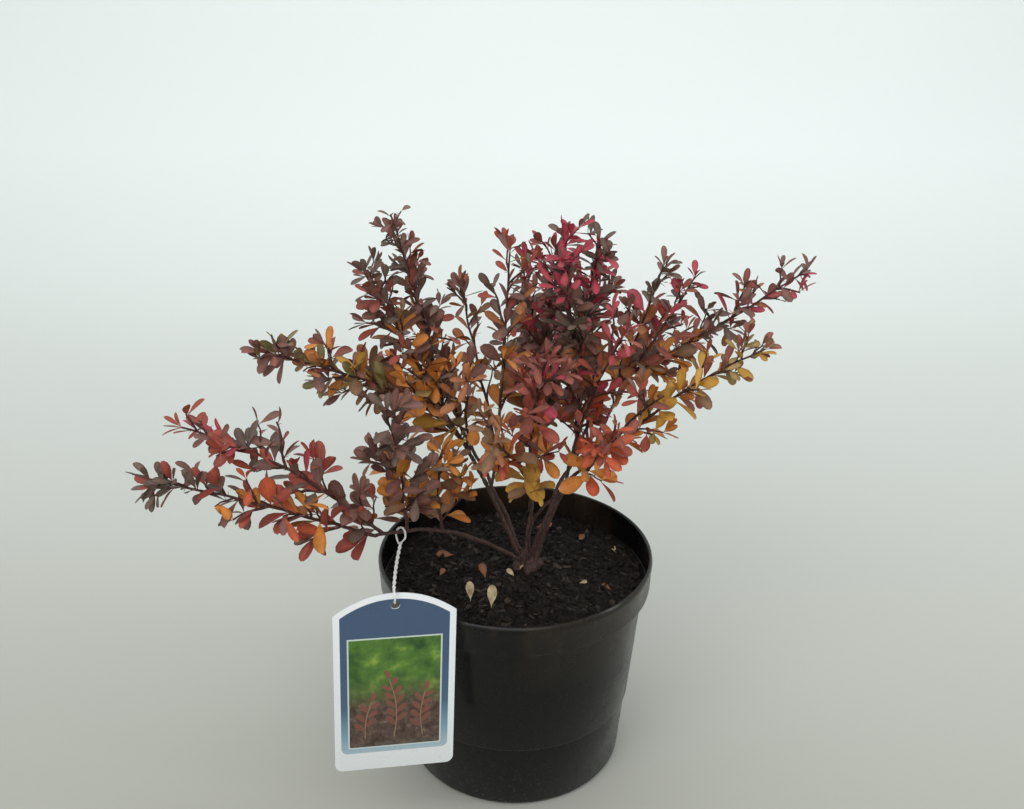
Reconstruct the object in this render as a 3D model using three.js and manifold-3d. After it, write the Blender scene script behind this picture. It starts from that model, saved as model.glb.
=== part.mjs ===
// A dwarf barberry in its nursery pot, in autumn leaf, with a label hung on one shoot.
// Millimetres, +Z up, +X to the right of the front, +Y to the back.
// The origin is the centre of the pot's flat underside.
import * as THREE from 'three';
import { mergeVertices } from 'three/addons/utils/BufferGeometryUtils.js';
import Module from 'manifold-3d';

const wasm = await Module();
wasm.setup();

// Nursery pot: a 19 cm, three litre container with a deep rim band
const POT_HEIGHT = 158;
const RIM_RADIUS = 94;
const RIM_BAND_HEIGHT = 22;
const BODY_TOP_RADIUS = 88.5;
const BASE_RADIUS = 75.5;
const POT_WALL = 2;
const POT_FLOOR = 2.5;
const BASE_CORNER = 4;
const CORNER_CUT = 1.2;
const STEP_HEIGHT = 52;
const STEP_DEPTH = 1.3;
const STEP_SHARPNESS = 0.01;
const BAND_CHAMFER = 1;
const LIP_HEIGHT = 2;
const LIP_OUTER_CUT = 0.6;
const LIP_INNER_CUT = 0.4;
const POT_SIDES = 30;
const DRAIN_HOLES = 6;
const DRAIN_HOLE_RADIUS = 5;
const DRAIN_RING_RADIUS = 58;
const DRAIN_HOLE_SIDES = 8;
const DRAIN_CUT_LENGTH = 10;

// Potting soil, nearly up to the rim
const SOIL_TOP = 140;
const SOIL_EDGE_DROP = 4;
const SOIL_FLAT_RADIUS = 30;
const SOIL_SLOPE_RADIUS = 60;
const SOIL_SLOPE_DROP = 1.2;
const SOIL_EDGE_DEPTH = 0.5;
const SOIL_GAP = 0.4;

// The plant stands a little off the pot's axis
const PLANT_X = 8;
const PLANT_Y = 7;

// The stool at its foot. Its rings are given by radius and height.
const CROWN_FOOT_RADIUS = 13;
const CROWN_RINGS = [[9.62, 3], [8, 7.5], [6.8, 11.25]];
const CROWN_TOP_RADIUS = 4;
const CROWN_TOP_EDGE = 14.25;
const CROWN_HEIGHT = 15;
const CROWN_SIDES = 14;
const STEM_START_REACH = 5;
const STEM_START_HEIGHT = 7;

// The finest step between two corners
const GRAIN = 0.001;

// Gaps between pieces that meet, and between a leaf and what it must not touch
const GAP = 0.3;
const GROWN = 0.4;
const LEAF_CLEARANCE = 1;
const SPACE_MARGIN = 1.6;
const AXIS_SAMPLES = 8;
const TWIG_SAMPLES = [0.2, 0.4, 0.6, 0.8, 1];
const NEARLY_UPRIGHT = 0.01;

// Sections and sampling of limbs and twigs
const LIMB_SIDES = 5;
const LIMB_STEP = 21;
const TWIG_SIDES = 3;
const TWIG_STEP = 34;
const KINK = 0.8;
const KINK_SPACING = 17;
const SHOOT_RADIUS = 1.3;
const SHOOT_TIP_RADIUS = 0.7;
const TWIG_RADIUS = 1;
const TWIG_TIP_RADIUS = 0.7;

// How a shoot branches. A twig is longest near the shoot's foot, and leans a little upward.
const FIRST_SEED = 1000;
const SEED_STEP = 77;
const GOLDEN_TURN = THREE.MathUtils.degToRad(137.5);
const TWIG_SPACING = 30;
const TWIG_FIRST = 0.6;
const TWIG_LAST = 0.3;
const TWIG_ANGLE = THREE.MathUtils.degToRad(52);
const TWIG_TURN_SPREAD = 0.6;
const TWIG_LIFT = 0.2;
const TWIG_RISE = 0.06;
const TWIG_TIP_SHRINK = 0.5;
const TWIG_LEAST = 0.8;
const TWIG_SPREAD = 0.4;
const TWIG_CUT_BACK = 0.8;
const SHORTEST_TWIG = 9;

// How a shoot or twig carries its leaves. They are fewer and larger than life.
const LEAF_PITCH = 5.4;
const FIRST_LEAF = 8.1;
const LEAF_APART = 6.6;
const LEAF_ANGLE = THREE.MathUtils.degToRad(58);
const LEAF_ANGLE_CLOSING = 0.45;
const LEAF_TURN_SPREAD = 0.8;
const LEAF_ROLL_SPREAD = 1.4;
const LEAF_LIFT = 0.22;
const LEAF_TIP_SHRINK = 0.5;
const LEAF_LEAST = 0.85;
const LEAF_SPREAD = 0.3;
const LEAF_LARGER = 1.75;
const LEAF_WIDTH_RATIO = 0.66;
const LEAF_THICKNESS = 1;
const LEAF_WIDEST = 0.62;
const LEAF_ROOT = 0.1;
const LEAF_FLOOR = 50;
const END_LEAF = 9;

// The hanging label and its tie
const LABEL_WIDTH = 75;
const LABEL_SIDE_HEIGHT = 114;
const LABEL_ARCH = 14;
const LABEL_THICKNESS = 1;
const LABEL_CORNER = 5;
const LABEL_SHOULDER_CUT = 3;
const LABEL_HOLE_RADIUS = 3;
const LABEL_HOLE_DROP = 8;
const LABEL_SHOULDER = new THREE.Vector3(-71, -99, 172);
const LABEL_TURN = THREE.MathUtils.degToRad(12);
const LABEL_TILT = THREE.MathUtils.degToRad(-2.5);
const LABEL_LEAN = THREE.MathUtils.degToRad(2);
const TIE_RADIUS = 0.8;
const TIE_STRAND_RADIUS = 1.1;
const TIE_LOOP_RADIUS = 5;
const TIE_AT = 0.84;
const TIE_SIDES = 5;
const TIE_LOOP_STEPS = 10;
const LABEL_CURVE_STEPS = 5;

const UP = new THREE.Vector3(0, 0, 1);

// Every stem and bough: what it leaves and how far along, where its tip lies as seen from the
// plant's foot, how its middle rises and bows off the straight line, and how thick it is.
const LIMBS = [
  { name: 'stem_low_left', from: 'root_crown', bearing: -133, reach: 132, height: 80,
    rise: 11, bow: -4, foot: 2.6, tip: 1.5 },
  { name: 'stem_mid_left', from: 'root_crown', bearing: -173, reach: 60, height: 128,
    rise: 9, bow: 2, foot: 2.8, tip: 1.7 },
  { name: 'stem_front', from: 'root_crown', bearing: -89, reach: 49, height: 100,
    rise: 4, bow: 2, foot: 2.2, tip: 1.5 },
  { name: 'stem_right', from: 'root_crown', bearing: -14, reach: 29, height: 73,
    rise: 6, bow: 0, foot: 3.4, tip: 2.4 },
  { name: 'stem_rear_left', from: 'root_crown', bearing: 130, reach: 72, height: 75,
    rise: 12, bow: 3, foot: 2.6, tip: 1.6 },
  { name: 'stem_rear', from: 'root_crown', bearing: 90, reach: 71, height: 88,
    rise: 10, bow: -3, foot: 2.6, tip: 1.6 },
  { name: 'stem_rear_right', from: 'root_crown', bearing: 45, reach: 77, height: 86,
    rise: 10, bow: 4, foot: 2.6, tip: 1.6 },
  { name: 'bough_centre_left', from: 'stem_mid_left', at: 0.38, bearing: -163, reach: 21, height: 103,
    rise: 0, bow: 4, foot: 1.9, tip: 1.4 },
  { name: 'bough_right_low', from: 'stem_right', at: 1, bearing: -19, reach: 64, height: 110,
    rise: 1, bow: -2, foot: 2, tip: 1.5 },
  { name: 'bough_centre_right', from: 'stem_right', at: 0.88, bearing: -10, reach: 34, height: 112,
    rise: 0, bow: 2, foot: 2.2, tip: 1.6 },
  { name: 'bough_right_high', from: 'bough_centre_right', at: 0.25, bearing: 8, reach: 66, height: 142,
    rise: 10, bow: 2, foot: 1.9, tip: 1.4 },
  { name: 'bough_front_right', from: 'stem_front', at: 0.42, bearing: -55, reach: 56, height: 92,
    rise: 3, bow: -3, foot: 1.8, tip: 1.4 },
];

// Every mass of foliage: the limb that its stem leaves and how far along, where its furthest
// shoot ends, how that shoot curves, how long its side twigs and largest leaves are, its tint.
const MASSES = [
  { name: 'foliage_low_left_outer', from: 'stem_low_left', at: 1, bearing: -149, reach: 252,
    height: 136, rise: 6, bow: 8, spread: 26, leaf: 20, tint: 'maroon' },
  { name: 'foliage_low_left_upper', from: 'stem_low_left', at: 0.94, bearing: -151, reach: 229,
    height: 161, rise: 14, bow: 8, spread: 26, leaf: 19, tint: 'maroon' },
  { name: 'foliage_left_upright', from: 'stem_low_left', at: 0.8, bearing: -129, reach: 128,
    height: 172, rise: 0, bow: 2, spread: 27, leaf: 20, tint: 'plum' },
  { name: 'foliage_left_inner', from: 'stem_low_left', at: 0.56, bearing: -131, reach: 79,
    height: 128, rise: 2, bow: -3, spread: 30, leaf: 20, tint: 'ochre' },
  { name: 'foliage_mid_left_top', from: 'stem_mid_left', at: 1, bearing: -176, reach: 107,
    height: 223, rise: 4, bow: 2, spread: 26, leaf: 18, tint: 'maroon' },
  { name: 'foliage_mid_left_tall', from: 'stem_mid_left', at: 0.9, bearing: 176, reach: 89,
    height: 257, rise: 2, bow: -4, spread: 22, leaf: 16, tint: 'olive' },
  { name: 'foliage_mid_left_arm', from: 'stem_mid_left', at: 0.96, bearing: -168, reach: 176,
    height: 176, rise: 4, bow: 4, spread: 26, leaf: 20, tint: 'olive' },
  { name: 'foliage_mid_left_inner', from: 'stem_mid_left', at: 0.66, bearing: -134, reach: 54,
    height: 172, rise: 4, bow: 0, spread: 30, leaf: 20, tint: 'ochre' },
  { name: 'foliage_mid_left_rear', from: 'stem_mid_left', at: 0.76, bearing: 156, reach: 131,
    height: 132, rise: 8, bow: -4, spread: 30, leaf: 20, tint: 'olive' },
  { name: 'foliage_centre_left', from: 'bough_centre_left', at: 1, bearing: -150, reach: 14,
    height: 237, rise: 0, bow: 3, spread: 30, leaf: 18, tint: 'russet' },
  { name: 'foliage_centre_left_side', from: 'bough_centre_left', at: 0.8, bearing: 155, reach: 51,
    height: 205, rise: 6, bow: 2, spread: 30, leaf: 19, tint: 'ochre' },
  { name: 'foliage_front_top', from: 'stem_front', at: 1, bearing: -82, reach: 83,
    height: 195, rise: 2, bow: -2, spread: 30, leaf: 20, tint: 'russet' },
  { name: 'foliage_front_low', from: 'stem_front', at: 0.78, bearing: -104, reach: 105,
    height: 148, rise: 6, bow: 2, spread: 30, leaf: 20, tint: 'orange' },
  { name: 'foliage_front_right', from: 'bough_front_right', at: 1, bearing: -60, reach: 109,
    height: 150, rise: 4, bow: 2, spread: 30, leaf: 20, tint: 'orange' },
  { name: 'foliage_right_low_outer', from: 'bough_right_low', at: 1, bearing: -12, reach: 154,
    height: 182, rise: 8, bow: -4, spread: 24, leaf: 17, tint: 'olive' },
  { name: 'foliage_right_low_inner', from: 'bough_right_low', at: 0.8, bearing: -30, reach: 100,
    height: 158, rise: 4, bow: -3, spread: 28, leaf: 18, tint: 'crimson' },
  { name: 'foliage_right_high_outer', from: 'bough_right_high', at: 1, bearing: 6, reach: 185,
    height: 217, rise: -4, bow: 2, spread: 24, leaf: 17, tint: 'crimson' },
  { name: 'foliage_right_upright_outer', from: 'bough_right_high', at: 0.93, bearing: 3, reach: 108,
    height: 218, rise: -2, bow: -2, spread: 22, leaf: 16, tint: 'maroon' },
  { name: 'foliage_right_upright_inner', from: 'bough_right_high', at: 0.84, bearing: -1, reach: 85,
    height: 228, rise: 0, bow: 2, spread: 26, leaf: 17, tint: 'crimson' },
  { name: 'foliage_right_rear', from: 'bough_right_high', at: 0.66, bearing: 28, reach: 136,
    height: 155, rise: 8, bow: 4, spread: 30, leaf: 19, tint: 'maroon' },
  { name: 'foliage_centre_top', from: 'bough_centre_right', at: 1, bearing: -15, reach: 20,
    height: 248, rise: 0, bow: 2, spread: 28, leaf: 18, tint: 'crimson' },
  { name: 'foliage_centre_right', from: 'bough_centre_right', at: 0.8, bearing: 18, reach: 47,
    height: 240, rise: 0, bow: 4, spread: 28, leaf: 18, tint: 'plum' },
  { name: 'foliage_centre_mid', from: 'bough_centre_right', at: 0.6, bearing: -27, reach: 69,
    height: 195, rise: 4, bow: -3, spread: 30, leaf: 19, tint: 'maroon' },
  { name: 'foliage_centre_rear', from: 'stem_rear', at: 0.62, bearing: 66, reach: 42,
    height: 226, rise: 4, bow: 0, spread: 30, leaf: 18, tint: 'plum' },
  { name: 'foliage_rear_left', from: 'stem_rear_left', at: 1, bearing: 130, reach: 126,
    height: 160, rise: 6, bow: 2, spread: 30, leaf: 20, tint: 'russet' },
  { name: 'foliage_rear_left_low', from: 'stem_rear_left', at: 0.8, bearing: 144, reach: 143,
    height: 118, rise: 6, bow: 4, spread: 30, leaf: 20, tint: 'ochre' },
  { name: 'foliage_rear_top', from: 'stem_rear', at: 1, bearing: 92, reach: 101,
    height: 200, rise: 2, bow: -2, spread: 30, leaf: 20, tint: 'plum' },
  { name: 'foliage_rear_low', from: 'stem_rear', at: 0.74, bearing: 86, reach: 145,
    height: 138, rise: 8, bow: 2, spread: 30, leaf: 20, tint: 'maroon' },
  { name: 'foliage_rear_right', from: 'stem_rear_right', at: 1, bearing: 46, reach: 146,
    height: 158, rise: 6, bow: -2, spread: 30, leaf: 20, tint: 'orange' },
  { name: 'foliage_rear_right_top', from: 'stem_rear_right', at: 0.8, bearing: 65, reach: 120,
    height: 188, rise: 2, bow: 3, spread: 30, leaf: 19, tint: 'russet' },
];

const TINTS = {
  plum: '#4a2a33',
  maroon: '#6e2430',
  crimson: '#a3203f',
  russet: '#7c3a2c',
  orange: '#b8452a',
  ochre: '#b0702c',
  olive: '#75602c',
};

// Materials

function potPlastic() {
  return new THREE.MeshStandardMaterial({ color: '#17171a', roughness: 0.38, metalness: 0 });
}

function pottingSoil() {
  return new THREE.MeshStandardMaterial({ color: '#1c1512', roughness: 1, metalness: 0 });
}

function stemBark() {
  return new THREE.MeshStandardMaterial({ color: '#4b2f2a', roughness: 0.8, metalness: 0 });
}

function leafTint(tint) {
  return new THREE.MeshStandardMaterial({ color: TINTS[tint], roughness: 0.6, metalness: 0 });
}

function labelCard() {
  return new THREE.MeshStandardMaterial({ color: '#e9ecee', roughness: 0.35, metalness: 0 });
}

function tiePlastic() {
  return new THREE.MeshStandardMaterial({ color: '#dfe0de', roughness: 0.5, metalness: 0 });
}

// Solids

function enclosedVolume(positions, index) {
  const corner = [new THREE.Vector3(), new THREE.Vector3(), new THREE.Vector3()];
  let volume = 0;
  for (let i = 0; i < index.length; i += 3) {
    corner.forEach((point, k) => point.fromArray(positions, index[i + k] * 3));
    volume += corner[0].dot(corner[1].clone().cross(corner[2])) / 6;
  }
  return volume;
}

// A closed geometry becomes a solid whose faces point out and whose corners lie on a fine grid.
function solidFrom(geometry) {
  const bare = geometry.clone();
  bare.deleteAttribute('normal');
  bare.deleteAttribute('uv');
  const coordinates = bare.attributes.position.array;
  coordinates.forEach((value, i) => { coordinates[i] = Math.round(value / GRAIN) * GRAIN; });
  const merged = mergeVertices(bare, GRAIN / 2);
  const positions = merged.attributes.position.array;
  const index = [];
  for (let i = 0; i < merged.index.count; i += 3) {
    const [a, b, c] = [0, 1, 2].map((k) => merged.index.getX(i + k));
    if (a !== b && b !== c && c !== a) index.push(a, b, c);
  }
  if (enclosedVolume(positions, index) < 0) index.reverse();
  return new wasm.Manifold(new wasm.Mesh({
    numProp: 3,
    vertProperties: Float32Array.from(positions),
    triVerts: Uint32Array.from(index),
  }));
}

function geometryFrom(solid) {
  const mesh = solid.getMesh();
  const geometry = new THREE.BufferGeometry();
  geometry.setAttribute('position', new THREE.BufferAttribute(mesh.vertProperties, 3));
  geometry.setIndex(new THREE.BufferAttribute(mesh.triVerts, 1));
  geometry.computeVertexNormals();
  return geometry;
}

function solidGeometry(geometry) {
  return geometryFrom(solidFrom(geometry));
}

function join(solids) {
  return wasm.Manifold.union(solids);
}

// The one body that matters: sealed hollows are filled and loose scraps are dropped. It is taken
// from the rounded surface, in which a scrap that hangs on by a hair has come loose.
function largestBody(solid) {
  const bodies = solidFrom(geometryFrom(solid)).decompose();
  return bodies.reduce((best, body) => (body.volume() > best.volume() ? body : best));
}

function lathe(profile, sides) {
  const points = profile.map(([radius, height]) => new THREE.Vector2(radius, height));
  return new THREE.LatheGeometry(points, sides).rotateX(Math.PI / 2);
}

function namedMesh(name, geometry, material) {
  const mesh = new THREE.Mesh(geometry, material);
  mesh.name = name;
  return mesh;
}

// Shoots: a straight run from foot to tip whose middle rises and bows, with a slight zigzag

class ShootCurve extends THREE.Curve {
  constructor(foot, tip, rise = 0, bow = 0) {
    super();
    this.foot = foot;
    this.run = tip.clone().sub(foot);
    this.rise = rise;
    this.bow = bow;
    this.left = new THREE.Vector3(-this.run.y, this.run.x, 0);
    if (this.left.lengthSq() < 1) this.left.set(0, 1, 0);
    this.left.normalize();
    this.kinks = Math.max(1, Math.round(this.run.length() / KINK_SPACING / 2));
  }

  getPoint(t, target = new THREE.Vector3()) {
    const swing = Math.sin(Math.PI * t);
    const zigzag = KINK * Math.sin(2 * Math.PI * this.kinks * t);
    return target.copy(this.foot)
      .addScaledVector(this.run, t)
      .addScaledVector(this.left, this.bow * swing + zigzag)
      .addScaledVector(UP, this.rise * swing);
  }
}

// A rod along a curve, tapering from foot to tip, and larger all round by an extra amount
function taperedRod(curve, footRadius, tipRadius, sides, step, extra = 0) {
  const steps = Math.max(1, Math.round(curve.getLength() / step));
  const section = new THREE.Shape();
  for (let i = 0; i < sides; i += 1) {
    const angle = (2 * Math.PI * i) / sides;
    if (i === 0) section.moveTo(1, 0);
    else section.lineTo(Math.cos(angle), Math.sin(angle));
  }
  const geometry = new THREE.ExtrudeGeometry(section, { steps, extrudePath: curve, curveSegments: 1 });
  const centres = curve.getSpacedPoints(steps);
  const footward = curve.getTangent(0).multiplyScalar(-extra);
  const tipward = curve.getTangent(1).multiplyScalar(extra);
  const position = geometry.attributes.position;
  const point = new THREE.Vector3();
  for (let i = 0; i < position.count; i += 1) {
    point.fromBufferAttribute(position, i);
    const distances = centres.map((centre) => centre.distanceTo(point));
    const ring = distances.indexOf(Math.min(...distances));
    const radius = THREE.MathUtils.lerp(footRadius, tipRadius, ring / steps) + extra;
    point.sub(centres[ring]).multiplyScalar(radius).add(centres[ring]);
    if (ring === 0) point.add(footward);
    if (ring === steps) point.add(tipward);
    position.setXYZ(i, point.x, point.y, point.z);
  }
  return geometry;
}

function fromFoot(bearing, reach, height) {
  const angle = THREE.MathUtils.degToRad(bearing);
  return new THREE.Vector3(reach * Math.cos(angle), reach * Math.sin(angle), height);
}

const curves = {};

// The curve of a limb or of a mass's main shoot, which leaves room at its tip for the end leaf
function shootFrom(entry, endLeaf) {
  const tip = fromFoot(entry.bearing, entry.reach, entry.height);
  const foot = entry.from === 'root_crown'
    ? fromFoot(entry.bearing, STEM_START_REACH, STEM_START_HEIGHT)
    : curves[entry.from].getPoint(entry.at);
  const back = foot.clone().sub(tip).setLength(endLeaf);
  return new ShootCurve(foot, tip.add(back), entry.rise, entry.bow);
}

// A mass's reach and height are those of its furthest leaf, so its shoot stops a leaf short.
for (const limb of LIMBS) curves[limb.name] = shootFrom(limb, 0);
for (const mass of MASSES) curves[mass.name] = shootFrom(mass, END_LEAF);

// The label's tie hangs on the low left stem, so it is placed before the leaves are.

function plantPoint(point) {
  return point.clone().sub(new THREE.Vector3(PLANT_X, PLANT_Y, SOIL_TOP));
}

const tieTop = curves.stem_low_left.getPoint(TIE_AT);
const labelHole = plantPoint(LABEL_SHOULDER).addScaledVector(UP, LABEL_ARCH - LABEL_HOLE_DROP);
const tieLine = { points: [tieTop, labelHole], footRadius: TIE_RADIUS, tipRadius: TIE_RADIUS };

// Clearances: each mass keeps to the space that is nearer to its own shoot than to any other

function axisLine(entry, footRadius, tipRadius) {
  return { name: entry.name, points: curves[entry.name].getPoints(AXIS_SAMPLES), footRadius, tipRadius };
}

const limbLines = LIMBS.map((limb) => axisLine(limb, limb.foot, limb.tip));
const massLines = MASSES.map((mass) => axisLine(mass, 0, 0));

const nearest = new THREE.Vector3();
const stretch = new THREE.Line3();

// From a point to the surface of a rod along a line
function distanceToLine(point, line) {
  const stretches = line.points.length - 1;
  let best = Infinity;
  for (let i = 0; i < stretches; i += 1) {
    stretch.set(line.points[i], line.points[i + 1]);
    stretch.closestPointToPoint(point, true, nearest);
    const radius = THREE.MathUtils.lerp(line.footRadius, line.tipRadius, (i + 0.5) / stretches);
    best = Math.min(best, nearest.distanceTo(point) - radius);
  }
  return best;
}

function isInOwnSpace(point, name) {
  const own = distanceToLine(point, massLines.find((line) => line.name === name));
  return massLines.every((line) => line.name === name
    || own + SPACE_MARGIN < distanceToLine(point, line));
}

function isClearOfLimbs(point) {
  return limbLines.every((line) => distanceToLine(point, line) > LEAF_CLEARANCE)
    && distanceToLine(point, tieLine) > LEAF_CLEARANCE + TIE_LOOP_RADIUS;
}

function isFree(point, name) {
  return point.z > LEAF_FLOOR && isClearOfLimbs(point) && isInOwnSpace(point, name);
}

// Growth of one mass

function seededRandom(seed) {
  let state = seed >>> 0;
  return () => {
    state = (Math.imul(state, 1664525) + 1013904223) >>> 0;
    return state / 4294967296;
  };
}

// The direction that leaves a curve at t, at an angle to it, turned about it by a number of radians
function sideDirection(curve, t, turn, angle) {
  const tangent = curve.getTangent(t);
  const across = new THREE.Vector3().crossVectors(tangent, UP);
  if (across.lengthSq() < NEARLY_UPRIGHT) across.set(1, 0, 0);
  across.normalize();
  const above = new THREE.Vector3().crossVectors(across, tangent).normalize();
  const outward = across.multiplyScalar(Math.cos(turn)).addScaledVector(above, Math.sin(turn));
  return tangent.multiplyScalar(Math.cos(angle)).addScaledVector(outward, Math.sin(angle));
}

// Side twigs all round a shoot, each cut back until it is free or too short
function sideTwigs(mass, axis, random) {
  const count = Math.max(2, Math.round(axis.getLength() / TWIG_SPACING));
  const twigs = [];
  let turn = random() * 2 * Math.PI;
  for (let k = 0; k < count; k += 1) {
    const t = (k + TWIG_FIRST) / (count + TWIG_LAST);
    turn += GOLDEN_TURN + (random() - 0.5) * TWIG_TURN_SPREAD;
    const direction = sideDirection(axis, t, turn, TWIG_ANGLE).addScaledVector(UP, TWIG_LIFT);
    const foot = axis.getPoint(t);
    let length = mass.spread * (1 - TWIG_TIP_SHRINK * t) * (TWIG_LEAST + TWIG_SPREAD * random());
    let twig = null;
    while (length > SHORTEST_TWIG && twig === null) {
      const tip = foot.clone().addScaledVector(direction, length);
      const curve = new ShootCurve(foot, tip, length * TWIG_RISE, 0);
      const points = TWIG_SAMPLES.map((s) => curve.getPoint(s));
      if (points.every((point) => isFree(point, mass.name))) twig = { curve, along: t };
      length *= TWIG_CUT_BACK;
    }
    if (twig !== null) twigs.push(twig);
  }
  return twigs;
}

// The corners of a leaf, which is widest past its middle and has its root sunk in the twig
function leafCorners(foot, direction, side, length) {
  const middle = foot.clone().addScaledVector(direction, length * LEAF_WIDEST);
  const halfWidth = length * LEAF_WIDTH_RATIO * 0.5;
  return {
    middle,
    root: foot.clone().addScaledVector(direction, -LEAF_ROOT),
    tip: foot.clone().addScaledVector(direction, length),
    left: middle.clone().addScaledVector(side, halfWidth),
    right: middle.clone().addScaledVector(side, -halfWidth),
  };
}

// A blade with a flat underside and a midrib that stands up
function leafBlade({ root, left, tip, right, middle }) {
  const length = new THREE.Vector3().subVectors(tip, root);
  const face = new THREE.Vector3().subVectors(left, right).cross(length).normalize();
  const ridge = middle.clone().addScaledVector(face, LEAF_THICKNESS);
  const blade = new THREE.BufferGeometry().setFromPoints([root, left, tip, right, ridge]);
  blade.setIndex([0, 1, 4, 1, 2, 4, 2, 3, 4, 3, 0, 4, 0, 3, 1, 1, 3, 2]);
  return blade;
}

function leafIsFree({ root, left, tip, right, middle }, name) {
  const edges = [[root, left], [root, right], [tip, left], [tip, right]];
  const halfway = edges.map(([from, to]) => from.clone().lerp(to, 0.5));
  return [tip, left, right, middle, ...halfway].every((point) => isFree(point, name));
}

// Leaves along a shoot or twig, in a spiral and smaller towards the tip of the whole shoot
function growLeaves(grown, mass, curve, from, shrinkFrom, random) {
  const length = curve.getLength();
  const leaves = [];
  let turn = random() * 2 * Math.PI;
  for (let s = from; s <= length; s += LEAF_PITCH) {
    const t = s / length;
    turn += GOLDEN_TURN + (random() - 0.5) * LEAF_TURN_SPREAD;
    const angle = LEAF_ANGLE * (1 - LEAF_ANGLE_CLOSING * t * t);
    const direction = sideDirection(curve, t, turn, angle).addScaledVector(UP, LEAF_LIFT).normalize();
    const side = new THREE.Vector3().crossVectors(curve.getTangent(t), direction).normalize();
    side.applyAxisAngle(direction, (random() - 0.5) * LEAF_ROLL_SPREAD);
    const along = shrinkFrom + (1 - shrinkFrom) * t;
    const taper = 1 - LEAF_TIP_SHRINK * along * along;
    const size = mass.leaf * LEAF_LARGER * taper * (LEAF_LEAST + LEAF_SPREAD * random());
    const leaf = leafCorners(curve.getPoint(t), direction, side, size);
    const apart = [...grown, ...leaves].every((other) => (
      other.middle.distanceTo(leaf.middle) > LEAF_APART));
    if (apart && leafIsFree(leaf, mass.name)) leaves.push(leaf);
  }
  return leaves;
}

function limbSolid(limb, extra) {
  return solidFrom(taperedRod(curves[limb.name], limb.foot, limb.tip, LIMB_SIDES, LIMB_STEP, extra));
}

// A solid less every limb that came before it, each a little larger all round to leave a gap
function cutClear(solid, limbs) {
  const grown = limbs.map((limb) => limbSolid(limb, GROWN));
  return largestBody(solid.subtract(join([crownSolid(GROWN), ...grown])));
}

function limbMesh(limb, number) {
  const trimmed = cutClear(limbSolid(limb, 0), LIMBS.slice(0, number));
  return namedMesh(limb.name, geometryFrom(trimmed), stemBark());
}

// A shoot with its leaves and with those side twigs that have room for a leaf
function foliageMass(mass, number) {
  const random = seededRandom(FIRST_SEED + SEED_STEP * number);
  const axis = curves[mass.name];
  const rods = [taperedRod(axis, SHOOT_RADIUS, SHOOT_TIP_RADIUS, TWIG_SIDES, TWIG_STEP)];
  const leaves = growLeaves([], mass, axis, FIRST_LEAF, 0, random);
  for (const twig of sideTwigs(mass, axis, random)) {
    const own = growLeaves(leaves, mass, twig.curve, LEAF_PITCH, twig.along, random);
    if (own.length > 0) {
      rods.push(taperedRod(twig.curve, TWIG_RADIUS, TWIG_TIP_RADIUS, TWIG_SIDES, TWIG_STEP));
      leaves.push(...own);
    }
  }
  const solids = [...rods, ...leaves.map(leafBlade)].map(solidFrom);
  return namedMesh(mass.name, geometryFrom(cutClear(join(solids), LIMBS)), leafTint(mass.tint));
}

// The stool that all the stems rise from, cut flat where it stands on the soil

function crownSolid(extra) {
  const profile = [
    [0, GAP - extra],
    [CROWN_FOOT_RADIUS + extra, GAP - extra],
    ...CROWN_RINGS.map(([radius, height]) => [radius + extra, height]),
    [CROWN_TOP_RADIUS + extra, CROWN_TOP_EDGE + extra],
    [0, CROWN_HEIGHT + extra],
  ];
  return solidFrom(lathe(profile, CROWN_SIDES));
}

function rootCrown() {
  return namedMesh('root_crown', geometryFrom(crownSolid(0)), stemBark());
}

// Pot and soil

const bandFoot = POT_HEIGHT - RIM_BAND_HEIGHT;
const underStep = STEP_HEIGHT - STEP_SHARPNESS;

// The outside of the wall below the rim band, which steps in near the foot
function wallRadius(height) {
  const step = height < STEP_HEIGHT ? STEP_DEPTH : 0;
  const foot = BASE_RADIUS + STEP_DEPTH;
  return THREE.MathUtils.mapLinear(height, 0, bandFoot, foot, BODY_TOP_RADIUS) - step;
}

function nurseryPot() {
  const profile = [
    [0, 0],
    [BASE_RADIUS - BASE_CORNER, 0],
    [BASE_RADIUS - CORNER_CUT, CORNER_CUT],
    [wallRadius(BASE_CORNER), BASE_CORNER],
    [wallRadius(underStep), underStep],
    [wallRadius(STEP_HEIGHT), STEP_HEIGHT + STEP_DEPTH],
    [wallRadius(bandFoot), bandFoot],
    [RIM_RADIUS - BAND_CHAMFER, bandFoot + BAND_CHAMFER],
    [RIM_RADIUS, POT_HEIGHT - LIP_HEIGHT],
    [RIM_RADIUS - LIP_OUTER_CUT, POT_HEIGHT],
    [RIM_RADIUS - POT_WALL - LIP_INNER_CUT, POT_HEIGHT],
    ...potInside(0),
    [0, POT_FLOOR],
  ];
  const hole = new THREE.CylinderGeometry(
    DRAIN_HOLE_RADIUS,
    DRAIN_HOLE_RADIUS,
    DRAIN_CUT_LENGTH,
    DRAIN_HOLE_SIDES,
  );
  hole.rotateX(Math.PI / 2).translate(DRAIN_RING_RADIUS, 0, 0);
  const holes = [];
  for (let i = 0; i < DRAIN_HOLES; i += 1) {
    holes.push(solidFrom(hole.clone().rotateZ((2 * Math.PI * (i + 0.5)) / DRAIN_HOLES)));
  }
  const solid = solidFrom(lathe(profile, POT_SIDES)).subtract(join(holes));
  return namedMesh('pot', geometryFrom(solid), potPlastic());
}

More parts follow.
